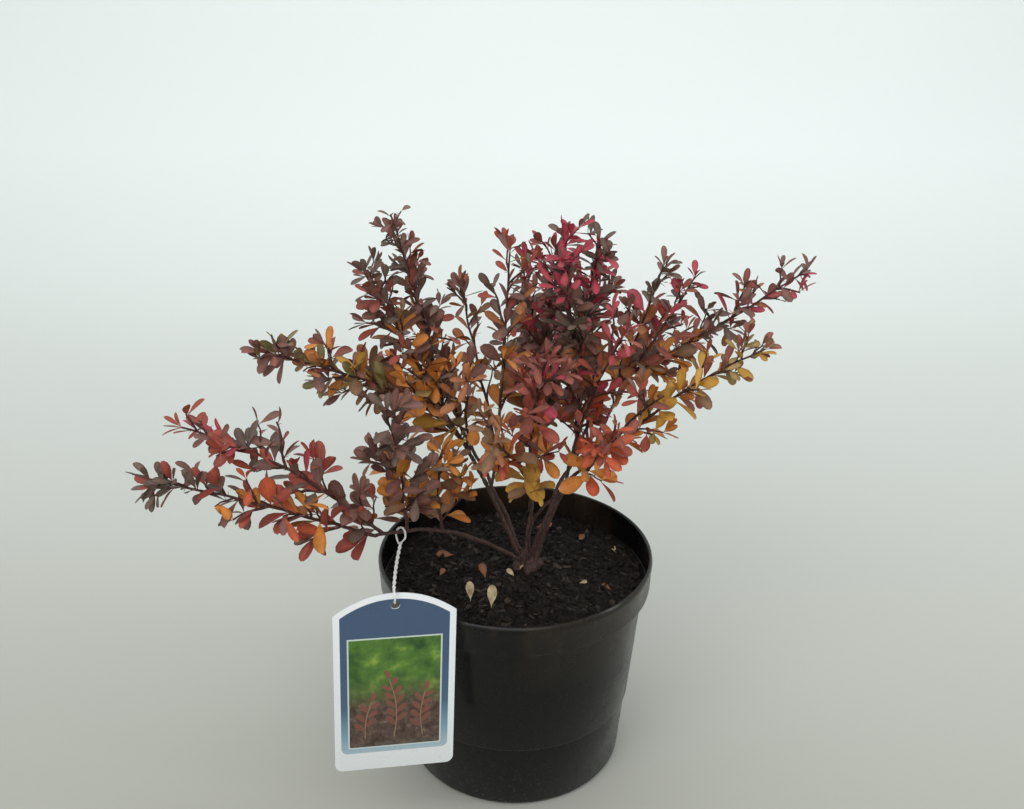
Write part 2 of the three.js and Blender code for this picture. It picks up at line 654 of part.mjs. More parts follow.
// The inside of the pot from just under the rim down to the floor, drawn in by a gap
function potInside(gap) {
  const shelf = bandFoot - BAND_CHAMFER;
  return [
    [RIM_RADIUS - POT_WALL - BAND_CHAMFER - gap, bandFoot + BAND_CHAMFER + gap],
    [wallRadius(shelf) - POT_WALL - gap, shelf + gap],
    [wallRadius(STEP_HEIGHT) - POT_WALL - gap, STEP_HEIGHT + STEP_DEPTH + gap],
    [wallRadius(underStep) - POT_WALL - gap, STEP_HEIGHT + gap],
    [wallRadius(POT_FLOOR) - POT_WALL - gap, POT_FLOOR + gap],
  ];
}

function pottingMix() {
  const edge = SOIL_TOP - SOIL_EDGE_DROP;
  const inside = potInside(SOIL_GAP);
  inside[0] = [inside[0][0], Math.max(edge, inside[0][1] + SOIL_EDGE_DEPTH)];
  const profile = [
    [0, SOIL_TOP],
    [SOIL_FLAT_RADIUS, SOIL_TOP],
    [SOIL_SLOPE_RADIUS, SOIL_TOP - SOIL_SLOPE_DROP],
    ...inside,
    [0, POT_FLOOR + SOIL_GAP],
  ];
  return namedMesh('soil', solidGeometry(lathe(profile, POT_SIDES)), pottingSoil());
}

// The label and its tie

function labelOutline() {
  const half = LABEL_WIDTH / 2;
  const corner = LABEL_CORNER;
  const bottom = -LABEL_SIDE_HEIGHT;
  const chord = LABEL_WIDTH - 2 * LABEL_SHOULDER_CUT;
  const sagitta = LABEL_ARCH - LABEL_SHOULDER_CUT;
  const archRadius = (chord * chord / 4 + sagitta * sagitta) / (2 * sagitta);
  const archHalfAngle = Math.asin(chord / 2 / archRadius);
  const shape = new THREE.Shape();
  shape.moveTo(-half + corner, bottom);
  shape.lineTo(half - corner, bottom);
  shape.absarc(half - corner, bottom + corner, corner, -Math.PI / 2, 0, false);
  shape.lineTo(half, 0);
  shape.absarc(0, LABEL_ARCH - archRadius, archRadius, Math.PI / 2 - archHalfAngle,
    Math.PI / 2 + archHalfAngle, false);
  shape.lineTo(-half, 0);
  shape.lineTo(-half, bottom + corner);
  shape.absarc(-half + corner, bottom + corner, corner, Math.PI, 1.5 * Math.PI, false);
  const hole = new THREE.Path();
  hole.absarc(0, LABEL_ARCH - LABEL_HOLE_DROP, LABEL_HOLE_RADIUS, 0, 2 * Math.PI, true);
  shape.holes.push(hole);
  return shape;
}

function hangingLabel() {
  const card = new THREE.ExtrudeGeometry(labelOutline(), {
    depth: LABEL_THICKNESS, bevelEnabled: false, curveSegments: LABEL_CURVE_STEPS,
  }).translate(0, 0, -LABEL_THICKNESS / 2);
  const mesh = namedMesh('label', solidGeometry(card), labelCard());
  mesh.rotation.z = LABEL_TILT;
  const upright = new THREE.Group();
  upright.rotation.x = Math.PI / 2 - LABEL_LEAN;
  upright.add(mesh);
  const turned = new THREE.Group();
  turned.position.copy(plantPoint(LABEL_SHOULDER));
  turned.rotation.z = LABEL_TURN;
  turned.add(upright);
  return turned;
}

function ring(centre, facing, radius) {
  const turn = new THREE.Quaternion().setFromUnitVectors(UP, facing.clone().normalize());
  return new THREE.TorusGeometry(radius, TIE_RADIUS, TIE_SIDES, TIE_LOOP_STEPS)
    .applyQuaternion(turn).translate(centre.x, centre.y, centre.z);
}

// One loop goes round the stem, the other through the label's hole, and a strand joins them.
function labelTie() {
  const stem = LIMBS.find((limb) => limb.name === 'stem_low_left');
  const stemRadius = THREE.MathUtils.lerp(stem.foot, stem.tip, TIE_AT);
  const seat = TIE_LOOP_RADIUS - TIE_RADIUS - stemRadius - GROWN;
  const upperLoop = tieTop.clone().addScaledVector(UP, -seat);
  const across = new THREE.Vector3(Math.cos(LABEL_TURN), Math.sin(LABEL_TURN), 0);
  const lowerSeat = LABEL_HOLE_RADIUS - TIE_RADIUS - GAP;
  const lowerLoop = labelHole.clone().addScaledVector(UP, TIE_LOOP_RADIUS + lowerSeat);
  const strand = new ShootCurve(
    lowerLoop.clone().addScaledVector(UP, TIE_LOOP_RADIUS),
    upperLoop.clone().addScaledVector(UP, -TIE_LOOP_RADIUS),
  );
  const solid = join([
    ring(upperLoop, curves.stem_low_left.getTangent(TIE_AT), TIE_LOOP_RADIUS),
    ring(lowerLoop, across, TIE_LOOP_RADIUS),
    taperedRod(strand, TIE_STRAND_RADIUS, TIE_STRAND_RADIUS, LIMB_SIDES, LIMB_STEP),
  ].map(solidFrom));
  return namedMesh('label_tie', geometryFrom(solid), tiePlastic());
}

// The whole

const plant = new THREE.Group();
plant.position.set(PLANT_X, PLANT_Y, SOIL_TOP);
plant.add(rootCrown(), ...LIMBS.map(limbMesh), ...MASSES.map(foliageMass), hangingLabel(), labelTie());

const pottedPlant = new THREE.Group();
pottedPlant.add(nurseryPot(), pottingMix(), plant);

export default pottedPlant;
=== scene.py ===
"""A dwarf barberry in its nursery pot, in autumn leaf, with a label tied to one of its stems.

The plant grows by the same seeded rule as its solids, and is carried on to finer twigs. Its own
measures are in millimetres from the foot of the plant, and everything else is in metres.
"""

import math
from collections import namedtuple

import bpy
import numpy as np
from bpy.props import FloatProperty, FloatVectorProperty, IntProperty, PointerProperty
from mathutils import Euler, Matrix, Vector, noise


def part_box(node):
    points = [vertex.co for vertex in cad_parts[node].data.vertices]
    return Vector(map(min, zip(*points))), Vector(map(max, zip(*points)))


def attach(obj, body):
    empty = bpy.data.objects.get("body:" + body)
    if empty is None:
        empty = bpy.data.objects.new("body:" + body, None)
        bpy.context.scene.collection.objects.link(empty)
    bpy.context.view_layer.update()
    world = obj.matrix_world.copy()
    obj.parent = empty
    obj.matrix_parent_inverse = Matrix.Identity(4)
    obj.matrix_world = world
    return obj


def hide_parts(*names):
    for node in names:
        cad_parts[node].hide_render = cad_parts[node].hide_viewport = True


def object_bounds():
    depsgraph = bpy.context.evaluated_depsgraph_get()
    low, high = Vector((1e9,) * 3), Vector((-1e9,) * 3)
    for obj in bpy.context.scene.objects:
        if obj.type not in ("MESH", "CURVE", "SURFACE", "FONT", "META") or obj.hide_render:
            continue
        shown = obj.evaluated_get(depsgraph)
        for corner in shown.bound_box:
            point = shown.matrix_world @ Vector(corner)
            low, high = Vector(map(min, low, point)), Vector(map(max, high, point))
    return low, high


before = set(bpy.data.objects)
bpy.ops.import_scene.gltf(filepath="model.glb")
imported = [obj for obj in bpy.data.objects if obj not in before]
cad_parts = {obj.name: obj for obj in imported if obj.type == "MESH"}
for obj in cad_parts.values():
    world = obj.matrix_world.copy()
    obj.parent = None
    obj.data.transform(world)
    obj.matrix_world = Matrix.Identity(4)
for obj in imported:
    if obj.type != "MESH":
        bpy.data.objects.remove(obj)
CAD_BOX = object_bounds()
POT_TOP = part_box("pot")[1]
SOIL_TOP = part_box("soil")[1]

bl_info = {
    "name": "Potted dwarf barberry",
    "version": (1, 0, 0),
    "blender": (4, 5, 0),
    "location": "View3D > Sidebar > Barberry",
    "description": "Builds a young barberry with its pot, soil and hanging label",
    "category": "Add Mesh",
}

# The plant's measures in millimetres, as its solids have them

PLANT_FOOT = np.array([8.0, 7.0, 140.0])
UP = np.array([0.0, 0.0, 1.0])
STEM_START = (5.0, 7.0)
KINK = 0.8
KINK_SPACING = 17.0
END_LEAF = 9.0
FIRST_SEED = 1000
SEED_STEP = 77
GOLDEN_TURN = math.radians(137.5)
TWIG_SPACING = 30.0
TWIG_FIRST = 0.6
TWIG_LAST = 0.3
TWIG_ANGLE = math.radians(52)
TWIG_TURN_SPREAD = 0.6
TWIG_LIFT = 0.2
TWIG_RISE = 0.06
TWIG_TIP_SHRINK = 0.5
TWIG_LEAST = 0.8
TWIG_SPREAD = 0.4
TWIG_CUT_BACK = 0.8
SHORTEST_TWIG = 9.0
LEAF_PITCH = 5.4
LEAF_FLOOR = 50.0
AXIS_SAMPLES = 8
TWIG_MARGIN = 1.6
TWIG_CLEARANCE = 1.0
TWIG_TESTS = np.array([0.2, 0.4, 0.6, 0.8, 1.0])
DRAWS_PER_LEAF = 3
TIE_AT = 0.84
TIE_END = np.array([-71.0, -99.0, 178.0])
TIE_RADIUS = 0.8
TIE_CLEARANCE = 5.0

# The fine twigs, which the solids don't have

FINE_SEED = 7000
FINE_SPREAD = 0.78
SHORTEST_FINE_TWIG = 5.0

# Radii of shoots, side twigs, fine twigs and thorns from foot to tip, with the steps between
# their rings and how far these swell and narrow in turn

SHOOT_RADII = (1.08, 0.55)
TWIG_RADII = (0.85, 0.5)
FINE_RADII = (0.65, 0.4)
THORN_RADII = (0.34, 0.2, 0.05)
SHOOT_STEP = 3.2
TWIG_STEP = 3.6
SWELLING, WAIST = 1.12, 0.97

# How leaves and thorns are set at the nodes of a shoot, with angles in degrees

FIRST_NODE = 0.8
NODE_SPREAD = (0.85, 1.15)
TIP_ANGLE = 18
NODE_ANGLE = 60
NODE_LIFT = 0.24
TURN_SPREAD = (-0.5, 0.5)
LEAVES_AT_TIP = 4
LEAVES_AT_NODE = 2.5
AROUND_SPREAD = (-0.4, 0.4)
OPENING = (18, 48)
FACING_OUT = 0.5
FACING_UP = 0.55
FACING_SPREAD = ((-0.55, 0.55), (-0.6, 0.4), (-0.25, 0.3))
TIP_SHORTENING = 0.4
TIP_NARROWING = 0.26
LENGTH_SPREAD = (0.68, 1.08)
WIDTH_SPREAD = (0.82, 1.18)
CURL_SPREAD = (-0.04, 0.2)
FOLD_SPREAD = (0.4, 1.5)
TINT_RUN = 24.0
TINT_REACH = (-0.34, 0.34)
STRAY_TINT = 0.36
BARE_NODE = 0.35
THORN_TURN = 0.4
THORN_ANGLE = 78
THORN_DROP = 0.15
THORN_SPREAD = (0.6, 1.2)
LEAF_OUTLINE = ((1.0, 0.0), (0.62, 0.24), (0.62, -0.24))
LEAF_MARGIN = -6.0
LEAF_CLEARANCE = 0.2

RUN = "origin at bearing reach height rise bow "
Limb = namedtuple("Limb", RUN + "foot_radius tip_radius")
Mass = namedtuple("Mass", RUN + "spread largest fullness tints")
Leaf = namedtuple("Leaf", "root direction normal length width curl fold tint")


def table(kind, text):
    """Rows of one kind by name: the origin's name, numbers, and the words after them if any."""
    rows = {}
    for line in text.strip().replace("\n ", " ").splitlines():
        name, origin, *cells = line.split()
        words = [cell for cell in cells if cell.isalpha()]
        numbers = [float(cell) for cell in cells if not cell.isalpha()]
        rows[name] = kind(origin, *numbers, *([words] if words else []))
    return rows


# Limb that each leaves, how far along, bearing, reach, height, rise, bow, foot and tip radius
LIMBS = table(Limb, """
stem_low_left      root_crown            0 -133 132  80 11 -4 2.6 1.5
stem_mid_left      root_crown            0 -173  60 128  9  2 2.8 1.7
stem_front         root_crown            0  -89  49 100  4  2 2.2 1.5
stem_right         root_crown            0  -14  29  73  6  0 3.4 2.4
stem_rear_left     root_crown            0  130  72  75 12  3 2.6 1.6
stem_rear          root_crown            0   90  71  88 10 -3 2.6 1.6
stem_rear_right    root_crown            0   45  77  86 10  4 2.6 1.6
bough_centre_left  stem_mid_left      0.38 -163  21 103  0  4 1.9 1.4
bough_right_low    stem_right            1  -19  64 110  1 -2   2 1.5
bough_centre_right stem_right         0.88  -10  34 112  0  2 2.2 1.6
bough_right_high   bough_centre_right 0.25    8  66 142 10  2 1.9 1.4
bough_front_right  stem_front         0.42  -55  56  92  3 -3 1.8 1.4
""")

# Limb, how far along, bearing, reach, height, rise, bow, length of side twigs, largest leaf, how
# full, and the tints that its sprays are dealt, from the foot of the shoot to its tip
MASSES = table(Mass, """
foliage_low_left_outer      stem_low_left         1 -149 252 136  6  8 26 20 1.02
    garnet orange red orange garnet plum garnet plum slate slate
foliage_low_left_upper      stem_low_left      0.94 -151 229 161 14  8 26 19 0.92
    plum garnet plum slate garnet plum garnet crimson garnet
foliage_left_upright        stem_low_left       0.8 -129 128 172  0  2 27 20  1.3
    orange slate plum slate brown slate plum slate plum
foliage_left_inner          stem_low_left      0.56 -131  79 128  2 -3 30 20    1
    amber orange brown orange russet orange brown orange
foliage_mid_left_top        stem_mid_left         1 -176 107 223  4  2 26 18 1.55
    orange brown orange plum maroon slate garnet slate
foliage_mid_left_tall       stem_mid_left       0.9  176  89 257  2 -4 22 16  1.4
    orange brown plum slate maroon slate plum
foliage_mid_left_arm        stem_mid_left      0.96 -168 176 176  4  4 26 20 1.35
    orange amber brown orange russet bronze moss maroon plum
foliage_mid_left_inner      stem_mid_left      0.66 -134  54 172  4  0 30 20 0.56
    orange amber russet amber brown russet plum
foliage_mid_left_rear       stem_mid_left      0.76  156 131 132  8 -4 30 20 0.56
    amber orange russet brown bronze maroon
foliage_centre_left         bough_centre_left     1 -150  14 237  0  3 30 18 0.85
    orange russet brown plum russet slate garnet
foliage_centre_left_side    bough_centre_left   0.8  155  51 205  6  2 30 19 0.72
    orange russet amber brown russet plum
foliage_front_top           stem_front            1  -82  83 195  2 -2 30 20    1
    orange red garnet maroon crimson plum maroon
foliage_front_low           stem_front         0.78 -104 105 148  6  2 30 20    1
    amber orange red amber russet orange brown
foliage_front_right         bough_front_right     1  -60 109 150  4  2 30 20  0.9
    orange red russet red garnet red maroon
foliage_right_low_outer     bough_right_low       1  -12 154 182  8 -4 24 17 1.05
    orange amber bronze amber brown maroon
foliage_right_low_inner     bough_right_low     0.8  -30 100 158  4 -3 28 18  0.5
    orange red garnet russet maroon plum
foliage_right_high_outer    bough_right_high      1    6 185 217 -4  2 24 17 1.15
    orange brown russet plum maroon slate crimson plum
foliage_right_upright_outer bough_right_high   0.93    3 108 218 -2 -2 22 16 1.05
    brown plum slate maroon crimson slate
foliage_right_upright_inner bough_right_high   0.84   -1  85 228  0  2 26 17  0.8
    russet brown plum slate plum crimson slate
foliage_right_rear          bough_right_high   0.66   28 136 155  8  4 30 19 0.42
    amber orange maroon russet garnet maroon
foliage_centre_top          bough_centre_right    1  -15  20 248  0  2 28 18  1.6
    russet slate plum slate crimson plum slate crimson
foliage_centre_right        bough_centre_right  0.8   18  47 240  0  4 28 18  1.5
    russet maroon slate plum slate crimson slate
foliage_centre_mid          bough_centre_right  0.6  -27  69 195  4 -3 30 19 0.74
    red russet garnet crimson maroon plum rose
foliage_centre_rear         stem_rear          0.62   66  42 226  4  0 30 18  1.3
    brown plum slate slate maroon crimson
foliage_rear_left           stem_rear_left        1  130 126 160  6  2 30 20 0.85
    brown russet bronze russet garnet plum
foliage_rear_left_low       stem_rear_left      0.8  144 143 118  6  4 30 20    1
    amber orange bronze bronze russet maroon
foliage_rear_top            stem_rear             1   92 101 200  2 -2 30 20  0.8
    brown maroon plum slate plum crimson
foliage_rear_low            stem_rear          0.74   86 145 138  8  2 30 20    1
    russet maroon garnet plum maroon plum
foliage_rear_right          stem_rear_right       1   46 146 158  6 -2 30 20  0.8
    orange red russet russet garnet maroon
foliage_rear_right_top      stem_rear_right     0.8   65 120 188  2  3 30 19  0.8
    russet garnet plum garnet plum maroon
""")

# tint: colour of the upper side as it looks in daylight, and a slot name
TINTS = {
    "slate": ("#67554b", "leaf_plum"),
    "plum": ("#78544c", "leaf_plum"),
    "maroon": ("#8a4b3f", "leaf_maroon"),
    "garnet": ("#9a493c", "leaf_maroon"),
    "crimson": ("#ab4150", "leaf_crimson"),
    "rose": ("#a94a50", "leaf_crimson"),
    "red": ("#b95536", "leaf_orange"),
    "russet": ("#a26640", "leaf_russet"),
    "brown": ("#85654a", "leaf_russet"),
    "orange": ("#ca803a", "leaf_orange"),
    "amber": ("#c69640", "leaf_ochre"),
    "bronze": ("#937b47", "leaf_olive"),
    "moss": ("#7d7549", "leaf_olive"),
}


# Sizes and colours that a user would change


def measure(name, description, default):
    return FloatProperty(name=name, description=description, default=default, unit="LENGTH")


def tone(name, description, default):
    return FloatVectorProperty(name=name, description=description, default=default,
                               subtype="COLOR", size=3, min=0, max=1)


class PotSizes(bpy.types.PropertyGroup):
    height: measure("Height", "From the underside to the rim", POT_TOP.z)
    rim_radius: measure("Rim radius", "Outside of the rim", POT_TOP.y)
    band: measure("Rim band", "Height of the deep band under the rim", 0.022)
    body_top: measure("Body radius at the band", "Outside of the wall under the band", 0.0885)
    foot: measure("Foot radius", "Outside of the wall at the foot", 0.0755)
    wall: measure("Wall", "Thickness of the wall", 0.002)
    step: measure("Step height", "Height of the line where the foot steps in", 0.052)
    sides: IntProperty(name="Sides", description="Faces round the pot", default=128, min=24)
    colour: tone("Plastic", "Colour of the moulded plastic", (0.003, 0.0031, 0.003))


class SoilSizes(bpy.types.PropertyGroup):
    top: measure("Soil height", "Height of the soil at the middle", SOIL_TOP.z)
    radius: measure("Soil radius", "Radius of the soil at its surface", 0.0905)
    roughness: measure("Lumps", "Height of the lumps on the surface", 0.0075)
    crumbs: IntProperty(
        name="Crumbs", description="Loose crumbs on the surface", default=1700, min=0)
    chips: IntProperty(
        name="Chips", description="Chips of bark on the surface", default=260, min=0)
    colour: tone("Peat", "Colour of the moist peat", (0.0105, 0.0075, 0.006))


class WoodSizes(bpy.types.PropertyGroup):
    relief: measure("Bark relief", "Depth of the grooves in the bark", 0.00042)
    spine: measure("Spine", "Length of a spine", 0.0062)
    bark: tone("Bark", "Colour of the bark on the stems", (0.07, 0.034, 0.027))
    shoot: tone("Young bark", "Colour of the young shoots", (0.07, 0.024, 0.02))


class LeafSizes(bpy.types.PropertyGroup):
    scale: FloatProperty(
        name="Leaf length", description="Length of a leaf as a share of its mass's largest",
        default=1.2, min=0.2, max=2)
    width: FloatProperty(
        name="Leaf width", description="Width of a leaf as a share of its length",
        default=0.46, min=0.1, max=1)
    pitch: measure("Node spacing", "Distance between two clusters on a shoot", 0.006)
    twig_spacing: measure(
        "Fine twig spacing", "Distance between two fine twigs on a shoot", 0.0135)
    fold: FloatProperty(
        name="Fold", description="How far the halves of a leaf fold up", subtype="ANGLE",
        default=math.radians(17))


class LabelSizes(bpy.types.PropertyGroup):
    width: measure("Width", "Width of the card", 0.075)
    height: measure("Side height", "Height of the card's straight sides", 0.114)
    arch: measure("Arch", "Rise of the card's top", 0.014)
    thickness: measure("Thickness", "Thickness of the card", 0.00085)
    corner: measure("Corner", "Radius of the lower corners", 0.005)
    hole: measure("Hole", "Radius of the hole", 0.003)
    hole_drop: measure("Hole drop", "From the top of the arch to the hole", 0.008)
    border: tone("Card", "Colour of the card", (0.86, 0.89, 0.92))
    field: tone("Field", "Colour of the printed field at the top", (0.058, 0.1, 0.185))


class StageSizes(bpy.types.PropertyGroup):
    lens: FloatProperty(
        name="Lens", description="Focal length in millimetres", default=39.38)
    floor: measure("Floor", "Half the width of the floor", 4.0)
    # The paper's two tones: the darker, warmer one in front is a painted shade
    near: tone("Floor", "Colour of the paper under the pot", (0.385, 0.378, 0.328))
    far: tone("Backdrop", "Colour of the paper behind", (0.9, 0.94, 0.93))


# Materials


def linear(code):
    """A colour as a screen shows it, given as #rrggbb, in Blender's linear light."""
    parts = [int(code[i:i + 2], 16) / 255 for i in (1, 3, 5)]
    return tuple(c / 12.92 if c <= 0.04045 else ((c + 0.055) / 1.055) ** 2.4 for c in parts)


def shade(colour, factor):
    return tuple(min(1.0, c * factor) for c in colour)


def blend_to(colour, other, share):
    return tuple(a + (b - a) * share for a, b in zip(colour, other))


class Finish:
    """A material made of a Principled shader and the nodes that feed it."""

    def __init__(self, name, roughness=0.5, specular=0.5):
        self.material = bpy.data.materials.new(name)
        self.material.use_nodes = True
        self.tree = self.material.node_tree
        self.shader = self.tree.nodes["Principled BSDF"]
        self.shader.inputs["Roughness"].default_value = roughness
        self.shader.inputs["Specular IOR Level"].default_value = specular

    def node(self, kind, **values):
        """A node whose settings and sockets are given by name."""
        made = self.tree.nodes.new(kind)
        for key, value in values.items():
            if hasattr(made, key):
                setattr(made, key, value)
            else:
                self.feed(made.inputs[key.replace("_", " ")], value)
        return made

    def feed(self, socket, value):
        """Links an output to a socket, or sets the socket to a number or a colour."""
        if isinstance(value, bpy.types.NodeSocket):
            self.tree.links.new(value, socket)
        else:
            socket.default_value = (*value, 1) if socket.type == "RGBA" else value

    def place(self, stretch=(1, 1, 1)):
        """The piece's own coordinates, stretched."""
        own = self.node("ShaderNodeTexCoord").outputs["Object"]
        return self.node("ShaderNodeMapping", Vector=own, Scale=stretch).outputs["Vector"]

    def coordinate(self, axis):
        """The piece's own coordinate along an axis."""
        return self.node("ShaderNodeSeparateXYZ", Vector=self.place()).outputs[axis]

    def span(self, low, high, axis="Z"):
        """From 0 to 1 between two places along an axis of the piece."""
        return self.node("ShaderNodeMapRange", Value=self.coordinate(axis), From_Min=low,
                         From_Max=high).outputs[0]

    def grain(self, scale, detail=3.0, rough=0.55, stretch=(1, 1, 1)):
        return self.node("ShaderNodeTexNoise", Vector=self.place(stretch), Scale=scale,
                         Detail=detail, Roughness=rough).outputs["Fac"]

    def ramp(self, value, *stops):
        """Colours or greys by a value; each stop is a place and a colour or a number."""
        made = self.node("ShaderNodeValToRGB", Fac=value)
        bar = made.color_ramp
        while len(bar.elements) < len(stops):
            bar.elements.new(0.5)
        for element, (place, colour) in zip(bar.elements, stops):
            element.position = place
            grey = isinstance(colour, (int, float))
            element.color = (*((colour,) * 3 if grey else colour), 1)
        return made.outputs["Color"]

    def mix(self, share, first, second, kind="MIX"):
        made = self.node("ShaderNodeMix", data_type="RGBA", blend_type=kind)
        for index, value in ((0, share), (6, first), (7, second)):
            self.feed(made.inputs[index], value)
        return made.outputs[2]

    def stain_and_sheen(self, where, spots, ground, colour):
        """The ground, with a colour in spots as far as a place lets them through: stains, and the
        pot's painted sheen.
        """
        return self.mix(self.mix(where, (0, 0, 0), spots), ground, colour)

    def worked_out(self, operation, *terms):
        made = self.node("ShaderNodeMath", operation=operation)
        for socket, term in zip(made.inputs, terms):
            self.feed(socket, term)
        return made.outputs[0]

    def leaf_place(self):
        """The leaf's own map, the distance from its midrib and the place along it."""
        chart = self.node("ShaderNodeUVMap", uv_map="leaf").outputs[0]
        parts = self.node("ShaderNodeSeparateXYZ", Vector=chart)
        off = self.worked_out("SUBTRACT", parts.outputs["X"], 0.5)
        return chart, self.worked_out("ABSOLUTE", off), parts.outputs["Y"]

    def colour(self, output):
        self.feed(self.shader.inputs["Base Color"], output)

    def roughness(self, output):
        self.feed(self.shader.inputs["Roughness"], output)

    def bump(self, height, strength, distance):
        """Relief on top of any that the shader has already."""
        made = self.node("ShaderNodeBump", Height=height, Strength=strength, Distance=distance)
        normal = self.shader.inputs["Normal"]
        if normal.is_linked:
            self.feed(made.inputs["Normal"], normal.links[0].from_socket)
        self.feed(normal, made.outputs["Normal"])


def pot_plastic(colour):
    """Black moulded plastic: satin and scuffed, dusty at the foot, stained at the band, and
    streaked with a painted brownish sheen from below the band up to the rim.
    """
    made = Finish("pot_black_plastic", specular=0.3)
    scuffs = made.ramp(made.grain(95, 6, 0.7, (1, 1, 0.35)), (0.55, 0.0), (0.8, 0.45))
    scuffed = made.mix(scuffs, colour, shade(colour, 3.2))
    dust = made.ramp(made.grain(420, 5, 0.75), (0.56, 0.0), (0.72, 1.0))
    dusted = made.stain_and_sheen(made.span(0.055, 0.0), dust, scuffed, (0.07, 0.06, 0.05))
    # Painted brownish sheen: brown streaks that grow from below the band up to the rim
    sheen_streaks = made.ramp(made.grain(17, 5, 0.6, (1, 1, 0.3)), (0.47, 0.0), (0.66, 0.8))
    sheened = made.stain_and_sheen(made.span(0.1, 0.155), sheen_streaks, dusted, (0.042, 0.027, 0.018))
    under_band = made.ramp(made.coordinate("Z"), (0.1325, 0.0), (0.1352, 1.0), (0.1375, 0.0))
    crusts = made.ramp(made.grain(75, 5, 0.7, (1, 1, 2.5)), (0.52, 0.0), (0.66, 0.75))
    made.colour(made.stain_and_sheen(under_band, crusts, sheened, (0.075, 0.068, 0.058)))
    made.roughness(made.ramp(made.grain(60, 4, 0.6), (0.3, 0.17), (0.75, 0.36)))
    made.bump(made.grain(900, 2, 0.5), 0.12, 0.0004)
    made.bump(made.grain(26, 2, 0.5), 0.25, 0.0012)
    return made.material


def peat(name, colour, light):
    made = Finish(name, roughness=0.8, specular=0.22)
    fibres = made.ramp(made.grain(520, 6, 0.75), (0.35, shade(colour, 0.45)), (0.55, colour),
                       (0.78, light))
    made.colour(made.mix(made.ramp(made.grain(70, 3), (0.4, 0.0), (0.7, 0.6)), fibres,
                         shade(colour, 0.6)))
    made.roughness(made.ramp(made.grain(240, 3), (0.35, 0.5), (0.65, 0.95)))
    made.bump(made.grain(700, 5, 0.7), 0.8, 0.0012)
    return made.material


def bark(name, colour, roughness=0.72):
    """Bark grooved along the stem, with paler ridges."""
    made = Finish(name, roughness=roughness, specular=0.35)
    grooves = made.grain(900, 5, 0.65, (1, 1, 0.16))
    streaks = made.ramp(grooves, (0.3, shade(colour, 0.4)), (0.52, colour),
                        (0.75, blend_to(shade(colour, 1.9), (0.3, 0.24, 0.2), 0.25)))
    patches = made.ramp(made.grain(130, 3), (0.4, 0.0), (0.7, 0.55))
    made.colour(made.mix(patches, streaks, shade(colour, 0.7)))
    made.bump(grooves, 0.7, 0.0006)
    return made.material


def leaf_upper(name, colour):
    """A leaf's upper side: warm along the midrib, dark towards margin and tip, and mottled."""
    made = Finish(name, roughness=0.52, specular=0.32)
    chart, apart, along = made.leaf_place()
    mottled = made.ramp(made.grain(150, 4, 0.65), (0.3, shade(colour, 0.84)),
                        (0.5, shade(colour, 1.04)),
                        (0.72, blend_to(shade(colour, 1.4), (0.5, 0.12, 0.06), 0.12)))
    outwards = made.worked_out("MULTIPLY_ADD", along, 0.14, apart)
    margin = made.ramp(outwards, (0.3, 0.0), (0.58, 0.7))
    deepened = made.mix(margin, mottled, blend_to(shade(colour, 0.68), (0.08, 0.052, 0.048), 0.3))
    rib = made.ramp(apart, (0.0, 0.7), (0.05, 0.0))
    made.colour(made.mix(rib, deepened, blend_to(shade(colour, 1.5), (0.5, 0.18, 0.12), 0.3)))
    made.roughness(made.ramp(made.grain(300, 2), (0.3, 0.42), (0.7, 0.58)))
    veins = made.node("ShaderNodeTexWave", Vector=chart, Scale=4.0, Distortion=1.5, Detail=1.0)
    made.bump(veins.outputs["Fac"], 0.12, 0.0003)
    return made.material


def leaf_under(name, colour):
    """The underside: the same tint, paler and greyer, with a raised midrib."""
    made = Finish(name, roughness=0.68, specular=0.25)
    pale = blend_to(shade(colour, 1.2), (0.3, 0.21, 0.18), 0.26)
    rib = made.ramp(made.leaf_place()[1], (0.0, 0.6), (0.07, 0.0))
    mottled = made.ramp(made.grain(210, 3), (0.35, shade(pale, 0.8)), (0.7, pale))
    made.colour(made.mix(rib, mottled, shade(pale, 1.4)))
    made.bump(rib, 0.3, 0.0004)
    return made.material


def withered_leaf():
    made = Finish("withered_leaf", roughness=0.75, specular=0.25)
    rib = made.ramp(made.leaf_place()[1], (0.0, 0.5), (0.06, 0.0))
    dry = made.ramp(made.grain(240, 4), (0.3, linear("#8d7558")), (0.6, linear("#c9b794")),
                    (0.85, linear("#e0d3b4")))
    made.colour(made.mix(rib, dry, linear("#a08962")))
    made.bump(made.grain(500, 4), 0.4, 0.0006)
    return made.material


def printed_card(name, top, bottom, low, high, between=(), roughness=0.32):
    """Coated card whose colour passes from bottom to top between two heights.

    Between them stand stops, each a share of the way up and its colour.
    """
    made = Finish(name, roughness=roughness, specular=0.5)
    passed = made.ramp(made.span(low, high), (0.0, bottom), *between, (1.0, top))
    speckle = made.ramp(made.grain(1500, 2), (0.3, 0.93), (0.7, 1.0))
    made.colour(made.mix(1.0, passed, speckle, "MULTIPLY"))
    made.roughness(made.ramp(made.grain(50, 3), (0.3, roughness - 0.07), (0.7, roughness + 0.1)))
    made.bump(made.grain(60, 2), 0.15, 0.0006)
    return made.material


def printed_ground():
    """A printed ground without a picture: mottled green above that turns brown below."""
    made = Finish("print_ground", roughness=0.32, specular=0.5)
    way_up = made.span(0.06, 0.16)
    green = made.ramp(made.grain(70, 3, 0.6), (0.3, (0.02, 0.07, 0.015)),
                      (0.55, (0.09, 0.2, 0.03)), (0.75, (0.33, 0.45, 0.08)))
    brown = made.ramp(made.grain(260, 3, 0.6), (0.3, (0.035, 0.02, 0.016)),
                      (0.55, (0.1, 0.06, 0.045)), (0.75, (0.19, 0.13, 0.1)))
    low = made.mix(made.ramp(way_up, (0.02, 1.0), (0.2, 0.0)), brown, (0.075, 0.12, 0.11))
    made.colour(made.mix(made.ramp(way_up, (0.45, 0.0), (0.68, 1.0)), low, green))
    return made.material


